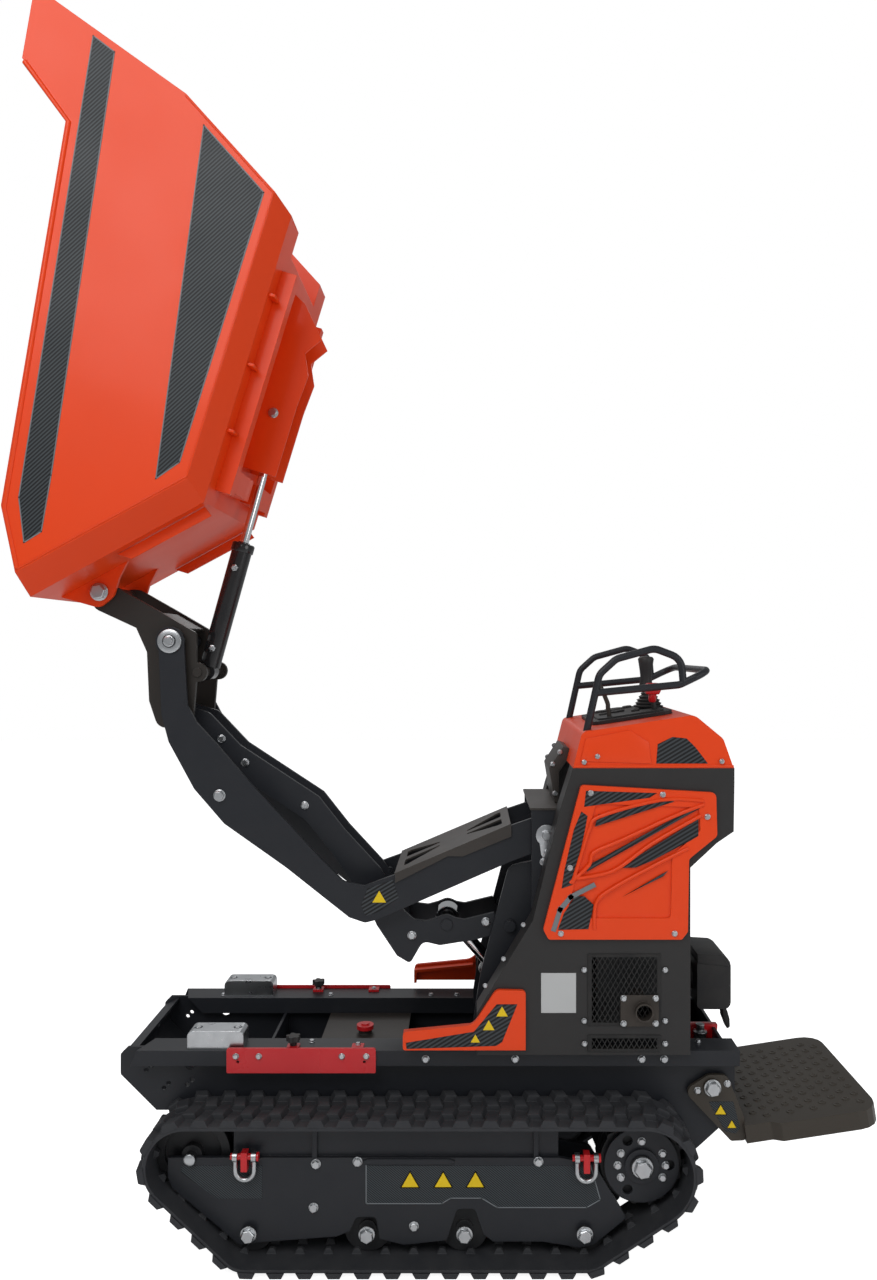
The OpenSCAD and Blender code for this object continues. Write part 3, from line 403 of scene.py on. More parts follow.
TREAD = Finish("tread_plate", "carrier_black", (0.05, 0.042, 0.033), 0.38, grain_scale=600.0,
               worn=(0.12, 0.1, 0.08), wear=0.4, dust=0.08, dust_colour=(0.12, 0.1, 0.08))
TAUPE = Finish("taupe_powder", "taupe_paint", (0.047, 0.041, 0.037), 0.42, grain_scale=900.0,
               worn=(0.15, 0.14, 0.12), wear=0.3, dust=0.05)
RUBBER = Finish("track_rubber_skin", "track_rubber", (0.022, 0.024, 0.029), 0.62, second=(0.04, 0.041, 0.045),
                grain_scale=260.0, grain_height=0.00025, patch_scale=30.0, worn=(0.09, 0.09, 0.095), wear=0.5,
                dust=0.12, dust_colour=(0.09, 0.086, 0.08))
ZINC = Finish("zinc_plate", "zinc", (0.62, 0.64, 0.66), 0.3, metallic=1.0, patch_scale=40.0, patch_share=0.5,
              grain_height=0.00003, worn=(0.8, 0.8, 0.82), wear=0.3, dust=0.05)
CHROME = Finish("hard_chrome", "rod_chrome", (0.86, 0.87, 0.88), 0.08, metallic=1.0, patch_share=0.1,
                grain_height=0.000005, wear=0.0, dust=0.0)
RED = Finish("red_gloss", "red_paint", (0.62, 0.006, 0.012), 0.28, coat=0.4, worn=(0.8, 0.2, 0.2), wear=0.3,
             dust=0.05)
PLASTIC = Finish("black_moulding", "black_plastic", (0.018, 0.018, 0.02), 0.5, grain_scale=1200.0,
                 grain_height=0.00008, worn=(0.06, 0.06, 0.06), wear=0.3, dust=0.12)
GRILLE = Finish("grille_paint", "black_plastic", (0.012, 0.012, 0.013), 0.45, worn=(0.1, 0.1, 0.1), wear=0.4,
                dust=0.1)
ENGINE = Finish("engine_casting", "engine_metal", (0.028, 0.029, 0.031), 0.55, grain_scale=300.0,
                grain_height=0.0002, worn=(0.1, 0.1, 0.1), wear=0.4, dust=0.1, dust_colour=SOOT)
EXHAUST = Finish("exhaust_skin", "exhaust_steel", (0.07, 0.06, 0.052), 0.5, second=(0.04, 0.034, 0.03),
                 metallic=0.5, patch_scale=25.0, worn=(0.2, 0.18, 0.16), wear=0.4, dust=0.05)
BARREL = Finish("barrel_gloss", "barrel_black", (0.014, 0.014, 0.016), 0.18, coat=0.5, worn=(0.1, 0.1, 0.1),
                wear=0.2, dust=0.06)
DECAL = Finish("striped_decal", "frame_black", (0.006, 0.006, 0.007), 0.45, second=(0.045, 0.052, 0.058),
               grain_height=SMOOTH, wear=0.0, dust=0.03, stripes=True)
FINE_DECAL = Finish("fine_striped_decal", "frame_black", (0.006, 0.007, 0.009), 0.45,
                    second=(0.045, 0.056, 0.064), grain_height=SMOOTH, wear=0.0, dust=0.03, stripes=True,
                    stripe_pitch=0.006, stripe_slope=-0.8)
SKIP_DECAL = Finish("skip_striped_decal", "orange_paint", (0.004, 0.005, 0.007), 0.45,
                    second=(0.045, 0.054, 0.06), grain_height=SMOOTH, wear=0.0, dust=0.02, stripes=True,
                    stripe_pitch=0.0105, stripe_slope=0.9)
PALE_LINE = Finish("pale_line", "frame_black", (0.55, 0.56, 0.56), 0.4, grain_height=SMOOTH, wear=0.0,
                   dust=0.05)
PALE_GREY = Finish("pale_grey_decal", "frame_black", (0.2, 0.22, 0.235), 0.4, grain_height=SMOOTH, wear=0.0,
                   dust=0.05)
YELLOW = Finish("yellow_sign", "frame_black", (0.9, 0.62, 0.01), 0.35, grain_height=SMOOTH, wear=0.0,
                dust=0.03)
DARK = Finish("dark_sign", "frame_black", (0.012, 0.012, 0.012), 0.4, grain_height=SMOOTH, wear=0.0,
              dust=0.02)

# The finish of each carried-over node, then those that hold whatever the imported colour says.
NODE_FINISHES: dict[str, Finish] = {
    **dict.fromkeys(("track_left", "track_right"), RUBBER),
    **dict.fromkeys(("track_frames", "chassis_rails", "belly", "nose_plate", "frame_covers", "tower", "link",
                     "arm"), BLACK),
    **dict.fromkeys(("bogie_wheels", "idlers", "sprockets"), WHEEL),
    **dict.fromkeys(("carrier", "oil_tank", "footboard"), BROWN_BLACK),
    **dict.fromkeys(("shackle_bows", "rest_blocks"), ZINC),
    **dict.fromkeys(("lock_bars", "oil_cap", "shackle_pins"), RED),
    **dict.fromkeys(("skip", "skip_frame", "side_panels", "cowl", "fenders"), ORANGE),
    **dict.fromkeys(("body_shell", "tower_cover", "arm_cover", "handlebars"), TAUPE),
    **dict.fromkeys(("lock_knobs", "joystick", "control_levers", "console", "air_cleaner", "grilles"),
                    PLASTIC),
    "engine": ENGINE,
    "exhaust": EXHAUST,
    **dict.fromkeys(("lift_barrel", "tip_barrel"), BARREL),
    **dict.fromkeys(("lift_rod", "tip_rod"), CHROME),
}
OWN_FINISHES: dict[str, Finish] = {
    "body_shell": CHARCOAL, "handlebars": BLACK, "engine": ENGINE, "footboard": TREAD}
SLOT_FINISHES: dict[str, Finish] = {
    finish.slot: finish for finish in (RUBBER, BLACK, WHEEL, BROWN_BLACK, ZINC, RED, ORANGE, TAUPE, PLASTIC,
                                       ENGINE, EXHAUST, BARREL, CHROME)}


def add_object(name: str, data: bpy.types.ID) -> bpy.types.Object:
    """Adds an object to the scene.

    Args:
        name: the object's name.
        data: its mesh, light or camera.

    Returns:
        The object.
    """
    made = bpy.data.objects.new(name, data)
    bpy.context.scene.collection.objects.link(made)
    return made


def finish_piece(name: str, bm: Mesh, finish: Finish, body: str, smooth: float = 35.0) -> bpy.types.Object:
    """Turns a bmesh into a piece of the machine.

    Args:
        name: the piece's name.
        bm: its mesh, which is freed.
        finish: its finish.
        body: the body that it moves with.
        smooth: the angle in degrees up to which its faces shade as one.

    Returns:
        The piece.
    """
    bmesh.ops.recalc_face_normals(bm, faces=bm.faces)
    mesh = bpy.data.meshes.new(name)
    bm.to_mesh(mesh)
    bm.free()
    piece = add_object(name, mesh)
    mesh.materials.append(finish.material())
    mesh.shade_smooth()
    mesh.set_sharp_from_angle(angle=math.radians(smooth))
    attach(piece, body)
    LOG.info("%s: %d faces on %s", name, len(mesh.polygons), body)
    return piece


def add_prism(bm: Mesh, outline: Sequence[Point2], y0: float, y1: float, bevel: float = 0.0) -> None:
    """Adds a plate with an outline in x and z, in millimetres.

    Args:
        bm: the mesh to add to.
        outline: the outline's points from the datum.
        y0: its inner or outer face.
        y1: the other face.
        bevel: the width of its edges' bevel.
    """
    verts = [bm.verts.new(place(x, y0, z)) for x, z in outline]
    face = bm.faces.new(verts)
    grown = bmesh.ops.extrude_face_region(bm, geom=[face])
    moved = [item for item in grown["geom"] if isinstance(item, bmesh.types.BMVert)]
    bmesh.ops.translate(bm, verts=moved, vec=(0.0, (y1 - y0) * MM, 0.0))
    if bevel > 0:
        ring = {edge for vert in (*verts, *moved) for edge in vert.link_edges}
        bmesh.ops.bevel(bm, geom=list(ring), offset=bevel * MM, segments=2, profile=0.6, affect="EDGES")


def skin(bm: Mesh, rings: Sequence[Sequence[bmesh.types.BMVert]], loop: bool = False, start: bool = False,
         end: bool = False) -> None:
    """Joins rings of as many vertices each by quads.

    Args:
        bm: the mesh to add to.
        rings: the rings, in order.
        loop: joins the last ring to the first.
        start: closes the first ring.
        end: closes the last ring.
    """
    count = len(rings[0])
    for low, high in zip(rings, [*rings[1:], rings[0]] if loop else rings[1:]):
        for k in range(count):
            j = (k + 1) % count
            bm.faces.new((low[k], low[j], high[j], high[k]))
    if start:
        bm.faces.new(rings[0][::-1])
    if end:
        bm.faces.new(rings[-1])


def turned(axis: Axis) -> Matrix:
    """Gives the rotation that takes z to an axis."""
    return Vector((0, 0, 1)).rotation_difference(Vector(axis.value)).to_matrix().to_4x4()


def add_lathe(bm: Mesh, centre: Vector, axis: Axis, profile: Sequence[Point2], steps: int = 32,
              turn: float = 0.0, tilt: float = 0.0) -> None:
    """Adds a turned solid along an axis, closed at both ends.

    Args:
        bm: the mesh to add to.
        centre: the foot of its axis, in metres.
        axis: the way it points.
        profile: radius and height pairs in millimetres, from foot to top.
        steps: sides round it, so that 6 gives a hexagon.
        turn: degrees by which its first corner is turned.
        tilt: degrees by which the whole leans about y.
    """
    frame = Matrix.Translation(centre) @ Matrix.Rotation(math.radians(tilt), 4, "Y") @ turned(axis)
    rings = []
    for radius, height in profile:
        ring = []
        for step in range(steps):
            c, s = unit(turn + step * 360 / steps)
            ring.append(bm.verts.new(frame @ Vector((radius * c * MM, radius * s * MM, height * MM))))
        rings.append(ring)
    skin(bm, rings, start=True, end=True)


def add_tube(bm: Mesh, path: Sequence[Vector], radius: float, sides: int = 12) -> None:
    """Adds a round tube along a path, closed at both ends.

    Args:
        bm: the mesh to add to.
        path: its points in metres.
        radius: its radius in millimetres.
        sides: sides round it.
    """
    rings = []
    up = Vector((0.03, 0.05, 1.0)).normalized()
    for index, point in enumerate(path):
        along = (path[min(index + 1, len(path) - 1)] - path[max(index - 1, 0)]).normalized()
        across = along.cross(up)
        if across.length < 0.2:
            across = along.cross(Vector((1.0, 0.1, 0.0)))
        across.normalize()
        rise = across.cross(along)
        up = rise
        corners = [unit(k * 360 / sides) for k in range(sides)]
        rings.append([bm.verts.new(point + (across * c + rise * s) * radius * MM) for c, s in corners])
    skin(bm, rings, start=True, end=True)


def curve_through(points: Sequence[Vector], steps: int = 6) -> list[Vector]:
    """Gives a smooth path through points.

    Args:
        points: the places to pass, in metres.
        steps: points on each stretch.

    Returns:
        The path's points.
    """
    path: list[Vector] = []
    padded = [points[0], *points, points[-1]]
    for a, b, c, d in zip(padded, padded[1:], padded[2:], padded[3:]):
        for step in range(steps):
            t = step / steps
            path.append(0.5 * (2 * b + (c - a) * t + (2 * a - 5 * b + 4 * c - d) * t ** 2
                               + (3 * b - a - 3 * c + d) * t ** 3))
    path.append(points[-1].copy())
    return path


def add_bolt(bm: Mesh, foot: Vector, axis: Axis, size: float, turn: float = 10.0) -> None:
    """Adds a washer and a chamfered hexagon head.

    Args:
        bm: the mesh to add to.
        foot: the washer's centre on the surface, in metres.
        axis: the way the head points.
        size: the thread's diameter in millimetres.
        turn: degrees by which the head is turned.
    """
    washer = size * 1.05
    add_lathe(bm, foot, axis, [(washer - 0.4, -0.3), (washer, 0.1), (washer, 1.2), (washer - 0.6, 1.6)], 24)
    head = foot + Vector(axis.value) * 1.5 * MM
    add_lathe(bm, head, axis, [(size * 0.86, 0.0), (size * 0.9, 0.3), (size * 0.9, size * 0.5),
                               (size * 0.78, size * 0.62)], 6, turn)


def bolts_piece(name: str, places: Iterable[Point2], y: float, size: float, body: str = "root",
                sides: Sequence[Side] = BOTH) -> None:
    """Builds bolt heads on a face that looks sideways.

    Args:
        name: the piece's name.
        places: x and z of each bolt in millimetres.
        y: the face's distance from the middle plane.
        size: the thread's diameter.
        body: the body that they ride on.
        sides: the sides that have them.
    """
    bm = bmesh.new()
    for side in sides:
        for index, (x, z) in enumerate(places):
            add_bolt(bm, place(x, side.value * y, z), outward(side), size, turn=10 + index * 23)
    finish_piece(name, bm, ZINC, body)


def plate_piece(name: str, outlines: Iterable[Sequence[Point2]], y: float, thick: float, finish: Finish,
                body: str = "root", bevel: float = 0.0, sides: Sequence[Side] = BOTH) -> None:
    """Builds flat pieces on a face that looks sideways.

    Args:
        name: the piece's name.
        outlines: x and z outlines in millimetres.
        y: the face's distance from the middle plane.
        thick: how far they stand out.
        finish: their finish.
        body: the body that they ride on.
        bevel: the width of their edges' bevel.
        sides: the sides that have them.
    """
    bm = bmesh.new()
    for side in sides:
        for outline in outlines:
            add_prism(bm, outline, side.value * y, side.value * (y + thick), bevel)
    finish_piece(name, bm, finish, body)


def sign_pieces(name: str, triangles: Iterable[Point3], y: float, body: str = "root",
                sides: Sequence[Side] = BOTH) -> None:
    """Builds blank warning triangles with dark borders.

    Args:
        name: the start of the pieces' names.
        triangles: x, z and radius of each in millimetres.
        y: the face's distance from the middle plane.
        body: the body that they ride on.
        sides: the sides that have them.
    """
    def corners(x: float, z: float, radius: float) -> list[Point2]:
        """Gives a triangle's corners."""
        return [(x + radius * unit(a)[0], z + radius * unit(a)[1]) for a in (90, 210, 330)]
    rows = list(triangles)
    inner = [corners(x, z, radius * 0.84) for x, z, radius in rows]
    plate_piece(f"{name}_border", [corners(*row) for row in rows], y, 0.5, DARK, body, sides=sides)
    plate_piece(f"{name}_sign", inner, y, 0.8, YELLOW, body, sides=sides)


def strips(path: Sequence[Point2], width: float) -> list[list[Point2]]:
    """Gives one thin outline along each stretch of a path.

    Args:
        path: x and z points in millimetres.
        width: the strips' width.

    Returns:
        The outlines, which overlap a little where they meet.
    """
    outlines = []
    for (ax, az), (bx, bz) in zip(path, path[1:]):
        length = math.hypot(bx - ax, bz - az)
        ux, uz = (bx - ax) / length * width / 2, (bz - az) / length * width / 2
        outlines.append([(ax - ux + uz, az - uz - ux), (bx + ux + uz, bz + uz - ux),
                         (bx + ux - uz, bz + uz + ux), (ax - ux - uz, az - uz + ux)])
    return outlines


def beads_piece(name: str, paths: Iterable[Sequence[Point2]], y: float, radius: float, finish: Finish,
                body: str = "root") -> None:
    """Builds round beads that follow smooth paths on the faces of both sides.

    Args:
        name: the piece's name.
        paths: x and z points in millimetres.
        y: the beads' middle, from the middle plane.
        radius: their radius.
        finish: their finish.
        body: the body that they ride on.
    """
    bm = bmesh.new()
    for side in Side:
        for path in paths:
            add_tube(bm, curve_through([place(x, side.value * y, z) for x, z in path], 5), radius, 10)
    finish_piece(name, bm, finish, body, smooth=70)


@dataclass
class TrackDress:
    """One rubber track: belt, lugs and drive horns."""

    inner_y: float = 210.0
    width: float = 180.0
    belt: float = 9.0
    lug_height: float = 17.0
    sunk: float = 0.4
    # Each row of lugs: its ends across the belt, and its shift round it in pitches.
    rows: tuple[Point3, ...] = ((0, 38, 0.5), (38, 92, 0.0), (88, 142, 0.5), (142, 180, 0.0))
    lugs: int = 43
    # Each wheel's x and z, and the radius of the lugs' tops round it.
    wheels: tuple[Point3, ...] = (
        (718.6, 277.5, 122.7), (-442.6, 254.4, 145.8), (-294.0, 88.0, 88.0), (567.0, 88.0, 88.0))

    def _leave(self, index: int) -> float:
        """Gives the angle of the outward normal where the belt leaves a wheel.

        Args:
            index: the wheel's place in the table.

        Returns:
            The angle in degrees.
        """
        ax, az, ar = self.wheels[index % 4]
        bx, bz, br = self.wheels[(index + 1) % 4]
        gap = math.hypot(bx - ax, bz - az)
        return math.degrees(math.atan2(bz - az, bx - ax)) - 90 + math.degrees(math.asin((ar - br) / gap))

    def path(self) -> list[Point3]:
        """Follows the belt's outer face round the wheels.

        Returns:
            Its points as x, z and the outward normal's angle in degrees.
        """
        rows: list[Point3] = []
        for index in range(4):
            x, z, radius = self.wheels[index]
            outer = radius - self.lug_height
            start, end = self._leave(index - 1), self._leave(index)
            while end < start:
                end += 360
            while end - start > 360:
                end -= 360
            steps = max(2, int(math.radians(end - start) * outer / 4))
            for step in range(steps + 1):
                angle = start + (end - start) * step / steps
                rows.append((x + outer * unit(angle)[0], z + outer * unit(angle)[1], angle))
            nx, nz, nr = self.wheels[(index + 1) % 4]
            far = (nx + (nr - self.lug_height) * unit(end)[0], nz + (nr - self.lug_height) * unit(end)[1])
            near = rows[-1]
            length = math.hypot(far[0] - near[0], far[1] - near[1])
            count = max(1, int(length / 12))
            for step in range(1, count):
                share = step / count
                rows.append((near[0] + (far[0] - near[0]) * share, near[1] + (far[1] - near[1]) * share, end))
        return rows

    def build(self, side: Side) -> None:
        """Builds the track of one side and hides the plain one.

        Args:
            side: which track.
        """
        rows = self.path()
        lengths = [0.0]
        for a, b in zip(rows, rows[1:] + rows[:1]):
            lengths.append(lengths[-1] + math.hypot(b[0] - a[0], b[1] - a[1]))
        total = lengths[-1]

        def spot(s: float, off: float, y: float) -> Vector:
            """Gives a point on the belt.

            Args:
                s: the length round the belt.
                off: the height above its outer face.
                y: the distance across from its inner edge.

            Returns:
                The point in metres.
            """
            s %= total
            low = next(i for i in range(len(rows)) if lengths[i + 1] >= s)
            a, b = rows[low], rows[(low + 1) % len(rows)]
            share = (s - lengths[low]) / max(1e-6, lengths[low + 1] - lengths[low])
            turn = (b[2] - a[2] + 180) % 360 - 180
            nx, nz = unit(a[2] + turn * share)
            return place(a[0] + (b[0] - a[0]) * share + nx * off, side.value * (self.inner_y + y),
                         a[1] + (b[1] - a[1]) * share + nz * off)

        bm = bmesh.new()
        self._belt(bm, rows, side)
        pitch = total / self.lugs
        for lug in range(self.lugs):
            for row, (y0, y1, shift) in enumerate(self.rows):
                self._lug(bm, spot, (lug + shift) * pitch, pitch, y0, y1, row)
            self._horn(bm, spot, (lug + 0.25) * pitch)
        name = "track_left" if side is Side.LEFT else "track_right"
        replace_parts(finish_piece(f"rubber_{name}", bm, RUBBER, "root", smooth=28.0), name)

    def _belt(self, bm: Mesh, rows: Sequence[Point3], side: Side) -> None:
        """Adds the belt with rounded edges.

        Args:
            bm: the mesh to add to.
            rows: points of the belt's outer face.
            side: which track.
        """
        section = ((0, -self.belt), (2, 0.0), (6, 1.5), (self.width - 6, 1.5), (self.width - 2, 0.0),
                   (self.width, -self.belt))
        rings = []
        for x, z, angle in rows:
            nx, nz = unit(angle)
            rings.append([bm.verts.new(place(x + nx * off, side.value * (self.inner_y + y), z + nz * off))
                          for y, off in section])
        skin(bm, rings, loop=True)

    def _lug(self, bm: Mesh, spot: Spot, s: float, pitch: float, y0: float, y1: float, row: int) -> None:
        """Adds one lug: a trapezoid block whose top is a slanted, chamfered pad.

        Args:
            bm: the mesh to add to.
            spot: gives a point on the belt.
            s: the lug's middle, as a length round the belt.
            pitch: the length from lug to lug.
            y0: its inner end across the belt.
            y1: its outer end.
            row: which row across it stands in, which sets its slant.
        """
        lean = pitch * 0.1 * (1 if row < 2 else -1)
        layers = ((0.31, 0.0, 0.0), (0.235, 0.62, 1.2), (0.2, 0.92, 2.4), (0.17, 1.0, 5.0))
        rings = []
        for half, height, inset in layers:
            ring = []
            for y, sign, slide in ((y0 + inset, -1, -lean), (y1 - inset, -1, lean),
                                   (y1 - inset, 1, lean), (y0 + inset, 1, -lean)):
                along = s + sign * half * pitch + slide * 0.6
                ring.append(bm.verts.new(spot(along, height * self.lug_height - self.sunk, y)))
            rings.append(ring)
        skin(bm, rings, end=True)

    def _horn(self, bm: Mesh, spot: Spot, s: float) -> None:
        """Adds one pair of drive horns inside the belt.

        Args:
            bm: the mesh to add to.
            spot: gives a point on the belt.
            s: their middle, as a length round the belt.
        """
        for y in (62.0, 104.0):
            rings = []
            for half, depth, wide in ((13, 8.0, 9), (9, 16.0, 7), (5, 21.0, 5)):
                rings.append([bm.verts.new(spot(s + a * half, -depth, y + b * wide))
                              for a, b in ((-1, -1), (1, -1), (1, 1), (-1, 1))])
            skin(bm, rings, end=True)


@dataclass
class UndercarriageDress:
    """Trim of the side frames, the sprockets and the chassis."""

    frame_y: float = 330.0
    sprocket: Point2 = (-442.6, 254.4)
    roller_x: tuple[float, ...] = (567.0, 264.0, 14.0, -294.0)
    roller_z: float = 88.0
    rail_y: float = 242.0
    cover_y: float = 322.0
    hub_y: float = 336.0
    idler: Point2 = (718.6, 277.5)
    idler_y: float = 338.0
    decal: tuple[Point2, ...] = ((267, 258), (267, 160), (72, 160), (50, 174), (-30, 174), (-70, 150),
                                 (-300, 150), (-335, 170), (-310, 258))

    def build(self) -> None:
        """Builds bolts, ribs, decals and small fittings."""
        bolts_piece("roller_bolts", [(x, self.roller_z) for x in self.roller_x], self.frame_y + 14, 20)
        bolts_piece("frame_bolts", [(144, 102), (396, 262), (289, 268), (402, 150), (-176, 268)],
                    self.frame_y, 12)
        cx, cz = self.sprocket
        ring = [(cx + 62 * unit(a)[0], cz + 62 * unit(a)[1]) for a in (90, 30, 150, 0, 180, 210, 330)]
        bolts_piece("sprocket_bolts", ring, self.cover_y, 10)
        bolts_piece("sprocket_centre_bolts", [self.sprocket], self.hub_y, 26)
        self._idler_caps()
        plate_piece("frame_ribs", [[(277, 270), (262, 276), (54, 276), (38, 270), (46, 262), (268, 262)]],
                    self.frame_y, 5, BLACK, bevel=1.6)
        front = [(742, 258), (534, 258), (534, 172), (650, 172), (742, 240)]
        plate_piece("frame_decals", [list(self.decal), front], self.frame_y, 0.5, FINE_DECAL)
        plate_piece("frame_lines", strips(self.decal, 2.6), self.frame_y, 0.7, PALE_GREY)
        sign_pieces("frame", [(154, 215, 30), (69, 215, 30), (-14, 215, 30)], self.frame_y)
        bolts_piece("rail_bolts", [(-456, 495), (-516, 495), (118, 495), (-120, 495)], self.rail_y, 10)
        bolts_piece("lock_bar_bolts", [(275, 505), (621, 505), (340, 505), (560, 505)], self.rail_y + 7, 8)
        self._rest_bolts()

    def _idler_caps(self) -> None:
        """Adds the idler's axle caps."""
        bm = bmesh.new()
        for side in Side:
            foot = place(self.idler[0], side.value * self.idler_y, self.idler[1])
            add_lathe(bm, foot, outward(side), [(14, 0), (15, 1), (15, 6), (12, 8), (5, 9)], 32)
        finish_piece("idler_caps", bm, ZINC, "root")

    def _rest_bolts(self) -> None:
        """Adds the bolts that point up, on the rests, the lock bars' tabs and the rails."""
        bm = bmesh.new()
        for side in Side:
            # Places along x, then the distance from the middle plane, the height and the size.
            for places, y, z, size in (((627.0, 733.0), 201, 559.5, 9), ((300.0, 473.0), 218, 524, 7),
                                       ((-620.0, -560.0, 40.0, 120.0, 430.0, 760.0), 182, 517, 8)):
                for x in places:
                    add_bolt(bm, place(x, side.value * y, z), Axis.UP, size)
        finish_piece("rail_top_bolts", bm, ZINC, "root")


@dataclass
class BodyDress:
    """Trim of the body: panels, grilles, blank plates, cowl, engine end and hose cover."""

    panel_y: float = 282.0
    body_y: float = 270.0
    fender_y: float = 282.0
    strand: float = 2.2
    mesh_pitch: float = 14.0
    rise: float = 1.75
    rim: Point2 = (10.0, 8.0)
    # Each vent's x and z of two corners.
    vents: tuple[tuple[float, float, float, float], ...] = (
        (-492.0, 603.0, -320.0, 775.0), (-492.0, 534.0, -320.0, 562.0))

    def build(self) -> None:
        """Builds everything on the body."""
        self._panels()
        self._mesh()
        self._bolts()
        plate_piece("noise_plates", [[(-187, 733), (-279, 733), (-279, 628), (-187, 628)]], self.body_y, 0.8,
                    PALE_LINE)
        self._cowl()
        self._engine_end()
        self._hose_cover()

    def _panels(self) -> None:
        """Adds the side panels' striped decals and raised ribs."""
        stripes = [
            [(-304, 1214), (-490, 1208), (-470, 1196), (-299, 1172)],
            [(-292, 1160), (-308, 1148), (-298, 1096), (-268, 968), (-240, 958), (-247, 1005), (-272, 1112)],
            [(-336, 1152), (-549, 1196), (-530, 1184), (-327, 1120)],
            [(-306, 1017), (-600, 1178), (-602, 1168), (-306, 1002)],
            [(-390, 1012), (-598, 1140), (-598, 1096), (-578, 1084), (-477, 1031), (-434, 1013)],
            [(-230, 850), (-246, 893), (-276, 938), (-300, 938), (-324, 915), (-310, 852)],
            [(-426, 950), (-520, 1006), (-506, 990), (-400, 937)]]
        ribs = [
            [(-612, 1188), (-500, 1190), (-340, 1147), (-312, 1112), (-292, 1050), (-268, 972)],
            [(-612, 1178), (-540, 1150), (-400, 1086), (-324, 1052), (-312, 1020), (-262, 972)],
            [(-606, 1150), (-480, 1078), (-386, 1010), (-330, 992), (-280, 984)],
            [(-572, 1064), (-470, 1012), (-376, 960), (-336, 930), (-326, 896), (-326, 852)]]
        beads_piece("panel_ribs", ribs, self.panel_y + 0.5, 5.0, ORANGE)
        plate_piece("panel_stripes", stripes, self.panel_y, 0.7, DECAL)
        plate_piece("panel_swages", strips([(-220, 852), (-236, 903), (-264, 936), (-322, 966)], 13),
                    self.panel_y, 0.9, PALE_GREY)

    def _mesh(self) -> None:
        """Replaces the plain grilles by frames with expanded metal mesh."""
        bm = bmesh.new()
        for side in Side:
            y = side.value * self.body_y
            for x0, z0, x1, z1 in self.vents:
                w, h = self.rim
                for a, b, c, d in ((x0 - w, z0 - h, x0, z1 + h), (x1, z0 - h, x1 + w, z1 + h),
                                   (x0, z0 - h, x1, z0), (x0, z1, x1, z1 + h)):
                    add_prism(bm, [(a, b), (c, b), (c, d), (a, d)], y, y + side.value * 3)
                self._strands(bm, side, (x0, z0, x1, z1))
        piece = finish_piece("mesh_grilles", bm, GRILLE, "root")
        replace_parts(piece, "grilles")

    def _strands(self, bm: Mesh, side: Side, vent: tuple[float, float, float, float]) -> None:
        """Adds the slanted strands of one vent's mesh.

        Args:
            bm: the mesh to add to.
            side: the machine's side.
            vent: its opening as x and z of two corners.
        """
        x0, z0, x1, z1 = vent
        step, reach = self.mesh_pitch * self.rise, (x1 - x0) * self.rise
        count = int((reach + (z1 - z0)) / step) + 1
        for slope, base, height in ((self.rise, z0, 0.4), (-self.rise, z1, 1.2)):
            for index in range(count):
                c = base + (index * step - reach) * (1 if slope > 0 else -1)
                ends = []
                for x in (x0, x1):
                    z = c + slope * (x - x0)
                    if z < z0:
                        x, z = x0 + (z0 - c) / slope, z0
                    if z > z1:
                        x, z = x0 + (z1 - c) / slope, z1
                    ends.append((x, z))
                (ax, az), (bx, bz) = ends
                length = math.hypot(bx - ax, bz - az)
                if length < 4 or not (x0 - 1 <= min(ax, bx) and max(ax, bx) <= x1 + 1):
                    continue
                nx, nz = (bz - az) / length * self.strand / 2, -(bx - ax) / length * self.strand / 2
                y = side.value * (self.body_y + height)
                outline = [(ax + nx, az + nz), (bx + nx, bz + nz), (bx - nx, bz - nz), (ax - nx, az - nz)]
                add_prism(bm, outline, y, y + side.value * 1.6)

    def _bolts(self) -> None:
        """Adds the bolts of panels, body sides and exhaust."""
        bolts_piece("panel_bolts", [(-316, 1208), (-505, 1204), (-622, 1146), (-536, 840), (-238, 840),
                                    (-262, 1012)], self.panel_y, 7.5)
        bolts_piece("body_bolts", [(-300, 742), (-513, 742), (-300, 608), (-513, 608), (-301, 548),
                                   (-513, 548)], self.body_y + 3, 7)
        bolts_piece("exhaust_bolts", [(-403, 669), (-487, 669), (-403, 603), (-487, 603)], self.body_y + 8, 8,
                    sides=(Side.LEFT,))
        bolts_piece("rim_bolts", [(-40, 700), (-88, 770), (-140, 860), (-66, 560)], self.body_y, 6)
        flash = [(168, 554), (166, 538), (-68, 546), (-84, 556), (-124, 655), (-70, 655), (-10, 583)]
        plate_piece("fender_decals", [flash], self.fender_y, 0.6, DECAL)
        sign_pieces("fender", [(-84, 632, 21), (-49, 596, 21), (-14, 562, 17)], self.fender_y)

    def _cowl(self) -> None:
        """Adds the cowl's side relief, decal and bolts, and a seam strip."""
        plate_piece("cowl_relief", [[(-290, 1290), (-305, 1350), (-420, 1372), (-470, 1340), (-478, 1284)]],
                    self.body_y, 3.5, ORANGE, bevel=1.6)
        plate_piece("cowl_decals", [[(-490, 1284), (-494, 1335), (-533, 1354), (-570, 1350), (-594, 1326),
                                     (-626, 1284)]], self.body_y, 0.7, DECAL)
        bolts_piece("cowl_bolts", [(-335, 1303), (-300, 1288), (-662, 1290)], self.body_y + 3.5, 6.5)
        plate_piece("cowl_seams", [[(-272, 1274), (-694, 1274), (-694, 1280), (-273, 1280)]],
                    self.body_y, 2.2, ORANGE, bevel=0.8)

